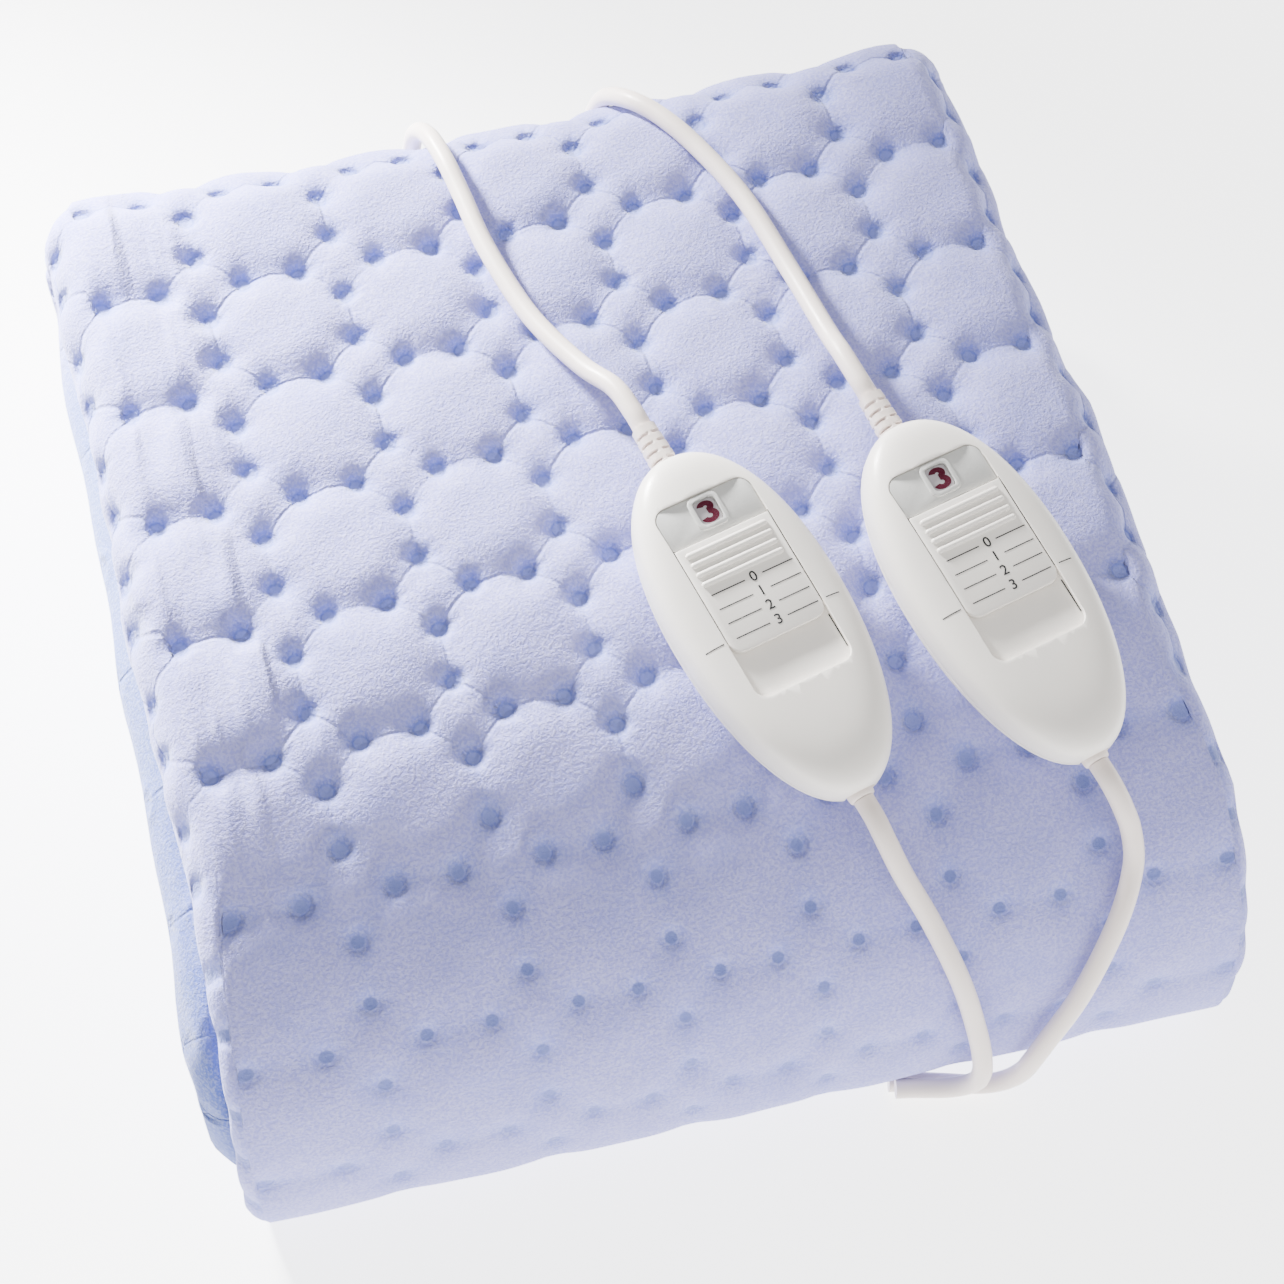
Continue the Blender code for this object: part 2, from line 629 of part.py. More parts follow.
def control(name, place):
    """One hand control: housing, display, sliding switch, cable guard and collar."""
    cover = add(f"control_cover_{name}", half_body("cover", True), WARM_WHITE, 0.35, parent=place)
    base = add(f"control_base_{name}", half_body("base", False), WARM_WHITE, 0.35, parent=place)

    inside = PANEL_WIDTH - 2 * SIDE_PLAY
    recess = rounded_outline(PANEL_WIDTH, PANEL_BOTTOM, PANEL_TOP, PANEL_RADIUS, PANEL_RADIUS)
    recess_mesh = plate("recess", recess, PANEL_FLOOR, ABOVE_SEAM + CUT_PAST)
    boolean(cover, cutter(f"recess_{name}", recess_mesh, place))
    for label, start, length, width in (
        ("guard_socket", GUARD_START, GUARD_SOCKET, GUARD_WIDTH),
        ("collar_socket", COLLAR_START, -COLLAR_SOCKET, COLLAR_WIDTH),
    ):
        hole = turned_cone(label, start, length, width + 2 * GAP, width + 2 * GAP)
        tool = cutter(f"{label}_{name}", hole, place)
        boolean(cover, tool)
        boolean(base, tool)

    strip_outline = rounded_outline(
        inside, STRIP_BOTTOM, PANEL_TOP - SIDE_PLAY, 0, PANEL_RADIUS - SIDE_PLAY
    )
    low, high = WINDOW_Y - WINDOW_HEIGHT / 2, WINDOW_Y + WINDOW_HEIGHT / 2
    strip_mesh = plate("strip", strip_outline, PANEL_FLOOR + GAP, STRIP_LEVEL)
    strip = add(f"display_strip_{name}", strip_mesh, LIGHT_GREY, 0.3, parent=place)
    frame_outline = rounded_outline(
        WINDOW_WIDTH + 2 * BEZEL_WALL,
        low - BEZEL_WALL,
        high + BEZEL_WALL,
        BEZEL_RADIUS,
        BEZEL_RADIUS,
    )
    window = rounded_outline(WINDOW_WIDTH, low, high, WINDOW_RADIUS, WINDOW_RADIUS)
    bezel = plate("bezel", frame_outline, PANEL_FLOOR + 2 * GAP, STRIP_LEVEL + BEZEL_RISE)
    boolean(strip, cutter(f"bezel_{name}", bezel, place), "UNION")
    opening = plate("window", window, PANEL_FLOOR - MM, STRIP_LEVEL + CUT_PAST)
    boolean(strip, cutter(f"window_{name}", opening, place))

    corner = WINDOW_RADIUS - GAP
    pane_outline = rounded_outline(WINDOW_WIDTH - 2 * GAP, low + GAP, high - GAP, corner, corner)
    pane = plate("pane", pane_outline, PANEL_FLOOR + GAP, STRIP_LEVEL - PANE_DEPTH)
    add(f"display_window_{name}", pane, WINDOW_GREY, 0.2, parent=place)

    slide = rounded_outline(inside, SLIDER_BOTTOM, SLIDER_TOP, PANEL_RADIUS - SIDE_PLAY, 0)
    slide_mesh = plate("slider", slide, PANEL_FLOOR + GAP, SLIDER_LEVEL)
    slider = add(f"slider_{name}", slide_mesh, WARM_WHITE, 0.3, parent=place)
    for k in range(RIDGE_COUNT):
        bar = ridge("ridge", RIDGE_FIRST - k * RIDGE_PITCH)
        boolean(slider, cutter(f"ridge_{name}_{k}", bar, place), "UNION")

    guard = turned_cone("guard", GUARD_START + GAP, GUARD_LENGTH, GUARD_WIDTH, GUARD_TIP)
    add(f"cable_guard_{name}", guard, WARM_WHITE, 0.4, parent=place)
    collar = turned_cone("collar", COLLAR_START - GAP, -COLLAR_LENGTH, COLLAR_WIDTH, COLLAR_TIP)
    add(f"cable_collar_{name}", collar, WARM_WHITE, 0.4, parent=place)


# ---------------------------------------------------------------- the cords


def smooth_route(points, spacing):
    """Points about a given distance apart on a smooth curve through the route's own points.

    The first and the last stretch of the route, straight out of a socket, keep their own points.
    """
    knots = [Vector(p) for p in points]
    knots = [2 * knots[0] - knots[1]] + knots + [2 * knots[-1] - knots[-2]]
    fine = []
    for a, b, c, d in zip(knots, knots[1:], knots[2:], knots[3:]):
        for k in range(ROUTE_STEPS):
            t = k / ROUTE_STEPS
            square = (2 * a - 5 * b + 4 * c - d) * t * t
            fine.append(0.5 * (2 * b + (c - a) * t + square + (3 * b - a - 3 * c + d) * t**3))
    fine.append(knots[-2])
    along = np.cumsum([0] + [(q - p).length for p, q in zip(fine, fine[1:])])
    first, last = along[ROUTE_STEPS], along[-1 - ROUTE_STEPS]
    count = max(2, round((last - first) / spacing))
    stops = [0, *np.linspace(first, last, count + 1), along[-1]]
    return [Vector([np.interp(s, along, [p[k] for p in fine]) for k in range(3)]) for s in stops]


def tube(name, points):
    curve = bpy.data.curves.new(name, "CURVE")
    curve.dimensions = "3D"
    curve.bevel_depth = CORD_D / 2
    curve.bevel_resolution = 2
    curve.use_fill_caps = True
    route = smooth_route(points, TUBE_STEP)
    spline = curve.splines.new("POLY")
    spline.points.add(len(route) - 1)
    for point, at in zip(spline.points, route):
        point.co = (*at, 1)
    return add(name, curve, WARM_WHITE, 0.45)


def hank(name, middle, way, tie_at):
    """The wound part of a mains lead with its tie, and the plug lying on it."""
    radius = HANK_FOLD + 1.5 * CORD_D
    top = HANK_UNDER + HANK_LEVELS * CORD_D
    turns = rounded_outline(2 * radius + HANK_RUN, -radius, radius, radius, radius, steps=8)
    made = add(f"mains_hank_{name}", plate("hank", turns, HANK_UNDER, top), WARM_WHITE, 0.45)
    made.location = (middle, HANK_Y, 0)

    inside = rounded_outline(2 * (radius + GAP), HANK_UNDER - GAP, top + GAP, 0, 0)
    outside = rounded_outline(
        2 * (radius + GAP + TIE_THICKNESS),
        HANK_UNDER - GAP - TIE_THICKNESS,
        top + GAP + TIE_THICKNESS,
        3 * MM,
        3 * MM,
        3,
    )
    stand = Matrix.Rotation(math.radians(90), 4, "X")
    stand = Matrix.Rotation(math.radians(90), 4, "Z") @ stand
    band_mesh = plate("tie", outside, -TIE_WIDTH / 2, TIE_WIDTH / 2)
    hole_mesh = plate("tie_hole", inside, -TIE_WIDTH, TIE_WIDTH)
    band_mesh.transform(stand)
    hole_mesh.transform(stand)
    band = add(f"hank_tie_{name}", band_mesh, WARM_WHITE, 0.5)
    hole = cutter(f"tie_hole_{name}", hole_mesh)
    band.location = hole.location = (middle + tie_at, HANK_Y, 0)
    boolean(band, hole)

    place = bpy.data.objects.new(f"plug_place_{name}", None)
    bpy.data.collections["electric_heated_blanket"].objects.link(place)
    level = top + GAP + PLUG_HEIGHT / 2
    place.location = (middle + way * PLUG_SHIFT, HANK_Y + PLUG_OFFSET, level)
    place.rotation_euler = (0, 0, math.radians(-90 * way))
    plug(name, place)


def plug(name, place):
    """A flat two-pin plug along +Y of its place, with its tapered guard at the back."""
    half, back = PLUG_WIDTH / 2, PLUG_BACK_WIDTH / 2
    start = PLUG_GUARD
    outline = [
        (-back, start),
        (back, start),
        (half, start + PLUG_SHOULDER),
        (half, start + PLUG_LENGTH),
        (-half, start + PLUG_LENGTH),
        (-half, start + PLUG_SHOULDER),
    ]
    body = plate("plug", outline, -PLUG_HEIGHT / 2, PLUG_HEIGHT / 2)
    made = add(f"plug_{name}", body, WARM_WHITE, 0.4, parent=place)
    edge = made.modifiers.new("round", "BEVEL")
    edge.width = PLUG_ROUND
    edge.segments = 2
    guard = turned_cone("plug_guard", start - GAP, -(PLUG_GUARD - GAP), PLUG_GUARD_WIDTH, GUARD_TIP)
    add(f"plug_guard_{name}", guard, WARM_WHITE, 0.4, parent=place)
    for side, label in ((-1, "a"), (1, "b")):
        pin = turned_cone("pin", start + PLUG_LENGTH + GAP, PIN_LENGTH, PIN_D, PIN_D, 12)
        made = add(f"plug_pin_{label}_{name}", pin, PIN_METAL, 0.25, 1.0, place)
        made.location = (side * PIN_SPACING / 2, 0, 0)


def main():
    for old in list(bpy.data.objects):
        bpy.data.objects.remove(old)
    for name in ("electric_heated_blanket", "cutters"):
        made = bpy.data.collections.new(name)
        bpy.context.scene.collection.children.link(made)
    blanket()
    for name, i, j, seam, heading, tilt in CONTROLS:
        place = bpy.data.objects.new(f"control_place_{name}", None)
        bpy.data.collections["electric_heated_blanket"].objects.link(place)
        place.location = world(i, j, seam)
        lean = Matrix.Rotation(math.radians(tilt), 3, "X")
        place.rotation_euler = (Matrix.Rotation(math.radians(heading), 3, "Z") @ lean).to_euler()
        control(name, place)
    for name, middle, way, tie_at in HANKS:
        hank(name, middle, way, tie_at)
    for label, routes in (
        ("mains_lead", MAINS_ROUTES),
        ("mains_tail", TAIL_ROUTES),
        ("blanket_lead", BLANKET_ROUTES),
    ):
        for name, points in routes.items():
            tube(f"{label}_{name}", [Vector(p) * MM for p in points])


main()
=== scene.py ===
"""Looks of the folded electric heated blanket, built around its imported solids.

Metres, +Z up, in the solids' own frame: the front fold is at -Y and the mains leads drop at +Y.
Places on the cloth are in pitches of its quilting: i runs along +X and j towards -Y.
"""
import math

import bmesh
import bpy
import numpy as np
from mathutils import Matrix, Vector
from mathutils.bvhtree import BVHTree


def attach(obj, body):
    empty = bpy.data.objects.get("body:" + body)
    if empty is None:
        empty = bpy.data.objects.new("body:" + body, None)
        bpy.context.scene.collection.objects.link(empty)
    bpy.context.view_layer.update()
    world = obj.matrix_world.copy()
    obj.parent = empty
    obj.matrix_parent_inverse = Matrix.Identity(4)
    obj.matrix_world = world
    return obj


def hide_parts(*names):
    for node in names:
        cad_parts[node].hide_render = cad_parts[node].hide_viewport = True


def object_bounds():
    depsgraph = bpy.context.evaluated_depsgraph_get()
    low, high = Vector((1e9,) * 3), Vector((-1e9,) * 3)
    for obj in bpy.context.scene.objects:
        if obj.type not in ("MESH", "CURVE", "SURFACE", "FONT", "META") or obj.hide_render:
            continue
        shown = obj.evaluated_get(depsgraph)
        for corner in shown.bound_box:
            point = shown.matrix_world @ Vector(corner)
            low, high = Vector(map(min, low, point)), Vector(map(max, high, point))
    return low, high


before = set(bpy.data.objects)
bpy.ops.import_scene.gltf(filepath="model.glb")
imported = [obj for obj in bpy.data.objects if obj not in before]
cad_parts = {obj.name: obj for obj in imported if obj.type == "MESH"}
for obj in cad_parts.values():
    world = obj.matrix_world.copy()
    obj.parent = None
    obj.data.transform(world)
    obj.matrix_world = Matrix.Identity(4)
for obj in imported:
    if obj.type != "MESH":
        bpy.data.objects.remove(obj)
solid_low, solid_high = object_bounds()

MM = 0.001
GAP = 0.3 * MM
SIDES = ("left", "right")

# ---- studio ----
FLOOR_SIZE, FLOOR_DROP, FLOOR_GLOW = 6, 0.1 * MM, 3.6  # half its width in metres; a lit white table
FLOOR_GREYS = (0.70, 0.70, 0.70, 1), (0.72, 0.72, 0.72, 1)
SURROUND = 0.80  # strength of the white world
KEY_LIGHT = {  # low, from the picture's upper left
    "at": (-0.40, 0.78, 0.45), "aim": (-0.21, 0.20, 0.13), "size": 0.16, "power": 8.6, "spread": 50,
}
FRONT_LIGHT = {"at": (0.2, -1.3, 0.7), "aim": (0, 0, 0.08), "size": 1.2, "power": 9, "spread": 180}
CAMERA_AT = Vector((-135.0, -457.4, 819.0)) * MM
CAMERA_HEADING, CAMERA_TILT, CAMERA_ROLL = -17.94, 31.33, 2.725  # degrees
CAMERA_LENS, CAMERA_SENSOR = 75.7, 36  # mm

# ---- the cloth: the same sizes as its solid, in pitches unless a name says otherwise ----
PITCH = 44 * MM
DOT = 1 / (1 + math.sqrt(2)) / 2  # a spot weld lies this far from the middle of a pad's side
CENTRE_I, CENTRE_J = 1.910, 2.047
MIDDLE_I = 2.2  # the column that runs straight down the front
TOP_START_J = -1.13
SLOPE = (  # (distance along the cloth, degrees below level)
    (-1.3, 0), (2.0, 0), (3.0, 5), (4.0, 15), (5.0, 28), (5.5, 41), (6.0, 63),
    (6.5, 76), (7.0, 90), (7.35, 120), (7.6, 160), (7.75, 180), (8.3, 180),
)
UNDER_START, FIRST_ROW = 7.75, 7.95
FOCUS_J = 4.9
BACK_END = -1.6  # row of the two free ends
WRAP_GAP, FOLD_SLACK, HEM_GAP, HEM_SPLIT = 2.0 * MM, 3.4 * MM, 1.6 * MM, 4 * MM
BEND_SHARE, BEND_RAMP = 0.27, (3.4, 5.3)
LEFT_OUTER = ((-2.0, -1.58), (-1.0, -1.54), (5.0, -1.54), (5.9, -1.64))  # (j, i)
LEFT_INNER = ((-2.0, -1.61), (0.0, -1.70), (2.5, -1.72), (4.0, -1.78), (5.2, -1.81), (6.2, -1.78))
LEFT_UNDER_I, RIGHT_UNDER_I = -1.38, 5.45
RIGHT_SIDE = ((-2.0, 5.62), (-1.0, 5.55), (3.0, 5.55), (5.9, 5.62))
RIGHT_STEP, EDGE_WAVE, EDGE_FLATNESS, EDGE_STRETCH = 0.03, 0.02, 0.85, 0.36
FRONT_SKEW, BACK_HOLLOW = 0.026, 2.2 * MM
FRONT_DRAW = 0.03  # the front fold draws the quilting in by this share across the pack
ROW_DRIFT = ((2.5, 0), (3, 0.02), (4, 0.055), (5, -0.035), (6, -0.07), (7, -0.05))  # (row, pitches)
FRONT_RELIEF, FRONT_FADE, UNDER_FADE, BACK_FADE = 0.36, (2.8, 5.4), (7.05, 7.45), (-2.9, -2.2)
LEFT_ARC = (6, 14, 22, 30, 38, 46, 52, 56, 60, 64, 68, 75, 83, 92, 102, 115, 130, 145, 162, 180)
RIGHT_ARC = (5, 10, 16, 21, 25, 29, 33, 37, 41, 48, 56, 65, 75, 86, 98, 110, 125, 142, 160, 180)
LEFT_WELDS, RIGHT_WELDS = -1.5, 5.5  # columns of the welds that lie on the side edges,
LEFT_WELD_TURN, RIGHT_WELD_TURN = 60, 33  # and how far round the edge they lie, in degrees

# ---- the quilting's relief ----
RELIEF = 5.6 * MM
PAD_POWER = 3.0  # the higher, the flatter the pads' crowns
VALLEY, SMALL_PAD = 0.62, 0.80  # height half way between two welds, and between four pads
PULL, PULL_POWER = 0.078, 1.1  # the welds draw the cloth down within about this distance
WELD_FLAT = 0.040  # radius of a weld's flat bottom
FINE_LINES = (-0.5, -0.464, -0.42, -0.36, -0.30, -0.243, -DOT, -0.171, -0.11, 0.0)  # and mirrored
SIDE_RELIEF = 0.45  # share of the relief that is left on the flank of a side edge

# ---- the hand controls ----
CONTROLS = (  # (name, place in mm, heading and tilt in degrees)
    ("left", (30.49, -61.73, 128.8), 13.5, 9.0),
    ("right", (102.30, -67.36, 127.9), 13.5, 9.5),
)
BODY_LENGTH, BODY_WIDTH = 120 * MM, 55 * MM
ABOVE_SEAM, BELOW_SEAM = 14.0 * MM, 9.5 * MM
EGG_FACE, EGG_BACK = (0.36, 0.5), (0.62, 0.85)
EGG_ENDS, EGG_SIDES, EGG_TAPER = 0.9, 0.95, 0.06
PANEL_WIDTH, PANEL_BOTTOM, PANEL_TOP, PANEL_RADIUS = 33 * MM, -24.9 * MM, 42.7 * MM, 4.5 * MM
PANEL_FLOOR, STRIP_LEVEL, SLIDER_LEVEL = 11.6 * MM, 12.4 * MM, 13.6 * MM
STRIP_BOTTOM, SLIDER_TOP, SLIDER_BOTTOM, SIDE_PLAY = 28.7 * MM, 28.1 * MM, -8.9 * MM, 0.4 * MM
RIDGE_COUNT, RIDGE_PITCH, RIDGE_FIRST = 4, 3.4 * MM, 25.1 * MM
RIDGE_LENGTH, RIDGE_RADIUS = 28 * MM, 1.0 * MM
WINDOW_Y, WINDOW_WIDTH, WINDOW_HEIGHT = 36.3 * MM, 7.6 * MM, 8.6 * MM
WINDOW_RADIUS, BEZEL_RADIUS, BEZEL_WALL, BEZEL_RISE = 1.8 * MM, 2.6 * MM, 1.4 * MM, 0.8 * MM
PANE_DEPTH = 0.2 * MM
NUMBER_HEIGHT, NUMBER_STROKE, NUMBER_BREADTH = 7.4 * MM, 1.6 * MM, 1.35
SOCKET_DEPTH, HOUSING_EDGE = 14 * MM, 0.30 * MM
GUARD_START, GUARD_LENGTH, GUARD_WIDTH, GUARD_TIP = 53 * MM, 21 * MM, 9.6 * MM, 8.0 * MM
GUARD_SLOTS, SLOT_DEPTH = 6, 0.42  # rows of slots, and their depth as a share of the radius
COLLAR_START, COLLAR_LENGTH, COLLAR_WIDTH, COLLAR_TIP = -54 * MM, 7 * MM, 9.4 * MM, 8.0 * MM
SCALE_NUMBERS = (("0", 11.0), ("1", 5.9), ("2", 0.8), ("3", -4.4))  # (number, place in mm)
SCALE_LINES, INDEX_LINES = ((-13.1, -1.6), (4.4, 14.9)), ((-23.4, -17.4), (17.6, 22.4))  # ends in mm
DIGIT_HEIGHT, DIGIT_X, DIGIT_WEIGHT, PRINT_DEPTH = 3.4 * MM, 1.4 * MM, 0.04 * MM, 0.02 * MM
LINE_WIDTH = 0.36 * MM
PRINT_RISE = 0.08 * MM
SEAM_SHADE = 0.4 * MM  # width of the painted shade strip along the switch's sides, over the gap

# ---- the cords ----
CORD_D = 6.5 * MM
HANK_FOLD, HANK_RUN, HANK_UNDER, HANK_Y = 3 * CORD_D, 13 * CORD_D, 1.6 * MM, 192.5 * MM
TIE_WIDTH, TIE_THICKNESS = 6 * MM, 1.0 * MM
PLUG_LENGTH, PLUG_WIDTH, PLUG_HEIGHT = 36 * MM, 37 * MM, 14 * MM
PLUG_BACK_WIDTH, PLUG_SHOULDER = 17 * MM, 16.2 * MM
PLUG_EDGE, GRIP_COUNT, GRIP_FIRST, GRIP_PITCH = 3.0 * MM, 5, 6 * MM, 2.6 * MM
GRIP_LENGTH, GRIP_WIDTH, GRIP_DEPTH = 15 * MM, 1.1 * MM, 0.5 * MM
PIN_LENGTH, PIN_D, PIN_SPACING, PIN_SLEEVE = 19 * MM, 4 * MM, 18.6 * MM, 10 * MM
PLUG_GUARD, PLUG_GUARD_WIDTH, PLUG_SHIFT, PLUG_OFFSET = 22 * MM, 10 * MM, 6 * MM, 3.5 * MM
HANKS = {"left": (-68 * MM, -1, 39 * MM), "right": (77 * MM, 1, -39 * MM)}  # middle, way, tie
MAINS_ROUTES = {  # (x, y, z) in millimetres, from the control over the back fold to the hank
    "left": (
        (13.3, 9.9, 140.5), (11.8, 16.2, 141.5), (8.8, 27.5, 140.6), (2.1, 43.2, 134.4),
        (-7.5, 69.7, 129.6), (-14.2, 100.2, 128.8), (-16.8, 125.1, 128.8), (-18.7, 142.0, 128.4),
        (-20.8, 158.2, 123.4), (-22.6, 171.6, 109.8), (-23.8, 177.0, 92.0), (-24.6, 179.0, 75.0),
        (-27.0, 185.0, 57.0), (-33.0, 195.0, 41.0), (-43.0, 206.0, 30.5), (-56.0, 214.0, 23.0),
        (-72.0, 218.2, 18.8), (-92.0, 218.5, 18.2),
    ),
    "right": (
        (85.1, 4.2, 140.2), (83.6, 10.4, 141.3), (82.0, 22.5, 140.3), (81.6, 36.0, 135.3),
        (79.3, 66.5, 129.8), (74.0, 99.5, 128.8), (65.6, 124.3, 128.8), (57.3, 141.5, 128.6),
        (49.8, 154.5, 125.4), (44.8, 168.0, 114.0), (42.6, 176.0, 97.0), (42.8, 179.0, 79.0),
        (46.5, 185.0, 60.0), (53.0, 194.0, 44.0), (63.0, 205.0, 30.0), (76.0, 213.5, 21.5),
        (89.0, 217.8, 18.6), (101.0, 218.5, 18.2),
    ),
}
TAIL_ROUTE = (  # from the hank's last turn to the plug's guard: along, across and up, in mm
    (-26.0, 18.4, 19.5), (-20.5, 15.6, 19.8), (-15.8, 11.4, 20.5), (-10.8, 7.4, 21.3),
    (-5.0, 4.6, 21.8), (0.5, 3.5, 21.9), (5.7, 3.5, 21.9),
)
BLANKET_ROUTES = {  # from the control down the front fold and in under it
    "left": (
        (44.7, -120.9, 119.1), (46.2, -127.1, 118.1), (48.1, -133.0, 113.9), (52.0, -140.6, 104.2),
        (59.3, -151.0, 88.5), (66.6, -164.2, 69.5), (71.8, -172.8, 47.5), (74.0, -177.2, 33.0),
        (74.2, -178.2, 24.3), (73.1, -177.8, 18.9), (70.1, -176.5, 14.4), (65.6, -174.8, 11.4),
        (60.2, -173.0, 10.3), (55.0, -171.6, 10.3), (50.0, -170.5, 10.3),
    ),
    "right": (
        (116.5, -126.5, 117.7), (118.0, -132.7, 116.7), (120.6, -138.4, 111.2),
        (123.4, -143.6, 102.0), (123.6, -150.2, 90.5), (116.8, -161.0, 77.5), (105.3, -171.6, 55.5),
        (95.0, -176.8, 35.5), (91.2, -178.0, 24.5), (89.6, -177.8, 17.5), (86.4, -176.7, 10.6),
        (81.2, -175.0, 5.7), (75.0, -172.8, 3.7), (66.0, -169.8, 3.6), (58.0, -167.4, 3.6),
        (50.0, -165.4, 3.6),
    ),
}
ROUTE_STEPS = 8

# ---- colours of the plastics, the print and the metal ----
WARM_WHITE = (0.94, 0.895, 0.835, 1)
CORD_WHITE = (0.90, 0.80, 0.745, 1)
TIE_WHITE = (0.80, 0.79, 0.77, 1)
STRIP_GREY, PANE_GREY = (0.62, 0.62, 0.60, 1), (0.45, 0.42, 0.44, 1)
NUMBER_RED, INK_BLACK = (0.075, 0.004, 0.018, 1), (0.025, 0.025, 0.027, 1)
WORN_INK = (0.35, 0.34, 0.34, 1)
NICKEL = (0.75, 0.73, 0.68, 1)


# ---------------------------------------------------------------- materials


class Finish:
    """A Principled material whose nodes are added one call at a time."""

    def __init__(self, name, **values):
        self.data = bpy.data.materials.new(name)
        self.data.use_nodes = True
        self.tree = self.data.node_tree
        self.shader = self.tree.nodes["Principled BSDF"]
        for key, value in values.items():
            self.shader.inputs[key.replace("_", " ")].default_value = value

    def node(self, kind, **settings):
        made = self.tree.nodes.new("ShaderNode" + kind)
        for key, value in settings.items():
            setattr(made, key, value)
        return made

    def feed(self, socket, value):
        if isinstance(value, bpy.types.NodeSocket):
            self.tree.links.new(value, socket)
        else:
            socket.default_value = value

    def math(self, operation, *values):
        made = self.node("Math", operation=operation)
        for socket, value in zip(made.inputs, values):
            self.feed(socket, value)
        return made.outputs[0]

    def times(self, a, b):
        return self.math("MULTIPLY", a, b)

    def minus(self, a, b):
        return self.math("SUBTRACT", a, b)

    def smooth(self, value, low, high, out_low=0.0, out_high=1.0):
        made = self.node("MapRange", interpolation_type="SMOOTHSTEP")
        for key, given in (
            ("Value", value),
            ("From Min", low),
            ("From Max", high),
            ("To Min", out_low),
            ("To Max", out_high),
        ):
            self.feed(made.inputs[key], given)
        return made.outputs[0]

    def noise(self, vector, scale, detail=2.0, roughness=0.5):
        made = self.node("TexNoise")
        for key, given in (
            ("Vector", vector),
            ("Scale", scale),
            ("Detail", detail),
            ("Roughness", roughness),
        ):
            self.feed(made.inputs[key], given)
        return made.outputs["Fac"]

    def place(self, scale=(1, 1, 1)):
        """Places on the object, in metres, stretched."""
        made = self.node("Mapping")
        self.feed(made.inputs["Vector"], self.node("TexCoord").outputs["Object"])
        made.inputs["Scale"].default_value = scale
        return made.outputs[0]

    def mix(self, factor, a, b):
        made = self.node("Mix", data_type="RGBA")
        self.feed(made.inputs[0], factor)
        self.feed(made.inputs[6], a)
        self.feed(made.inputs[7], b)
        return made.outputs[2]

    def bump(self, height, distance, normal=None):
        made = self.node("Bump")
        made.inputs["Distance"].default_value = distance
        self.feed(made.inputs["Height"], height)
        if normal is not None:
            self.feed(made.inputs["Normal"], normal)
        return made.outputs[0]

    def colour(self, value):
        self.feed(self.shader.inputs["Base Color"], value)

    def normal(self, value):
        self.feed(self.shader.inputs["Normal"], value)

    def rough(self, value):
        self.feed(self.shader.inputs["Roughness"], value)


# ---- the fleece; its widths are in pitches, and its rows count from the back to the front ----
# The low colour is painted shade in the relief's valleys; it also serves as the nap's darker grain and
# cloud.
FLEECE_CROWN = (0.325, 0.320, 0.720, 1)
FLEECE_LOW = (0.225, 0.255, 0.680, 1)
FLEECE_SHADE = (0.110, 0.150, 0.480, 1)  # deep in the welds' funnels
# Painted shade: the inner pass is coloured darker and bluer than the outer face.
FLEECE_INNER_SHADED = (0.105, 0.175, 0.520, 1)
INNER_SHADE = (0.050, 0.100, 0.370, 1)
NAP_LIGHT = (0.85, 0.86, 1.0, 1)
WELD_TOP, WELD_FRONT = (0.245, 0.285, 0.660, 1), (0.130, 0.165, 0.430, 1)
GRAIN_SCALE, TUFT_SCALE, CLOUD_SCALE = 1050, 300, 55  # per metre
GRAIN_LIT, GRAIN_DIM, CLOUD_DIM = (0.35, 0.68, 0.20), (0.62, 0.32, 0.24), (0.40, 0.75, 0.25)
WELD_EDGE = (0.036, 0.050)  # a weld's printed disc, from its flat to the cloth round it
WELD_RING, RING_WIDTH = 0.052, 0.014  # the sharp rim round a weld, painted with shade
FUNNEL_EDGE, WELL_EDGE = (0.110, 0.050), (0.046, 0.095)
CREASE_SHADE_SHARE, FUNNEL_SHADE_SHARE, RING_SHADE_SHARE = 0.16, 0.36, 0.55  # how strongly the painted shade of the creases, the funnels and the weld rims comes through
CREASE_WIDTH = 0.026  # of the sharp creases along the pads' sides
INNER_ROWS, INNER_FRONT = (-3.2, -4.2), (0.06, -0.11)  # the inner pass, whose colour is painted shade; where that painted shade deepens, in metres
FACE_START, FACE_END = (-3.0, -2.3), (7.6, 7.1)  # rows at the two ends of the outer face
TO_FRONT, FUNNEL_FADE, SEAM_FADE, WELD_DARKER = (3.6, 5.4), (5.2, 3.8), (4.7, 3.2), (3.4, 5.4)
PRINT_FADE, WELL_FADE = (5.3, 6.6, 0.85, 0.35), (6.0, 4.0, 0.3, 1.0)  # two rows, a share at each
LOW_TO_CROWN = (0.05, 0.75)  # heights of the relief, from the painted valley shade up to the crown colour
WELL_RISE, GATHER_RISE, CREASE_RISE = 1.0 * MM, 1.1 * MM, 2.0 * MM
SEAM_RISE, TUFT_RISE, GRAIN_RISE = 0.45 * MM, 0.35 * MM, 0.38 * MM


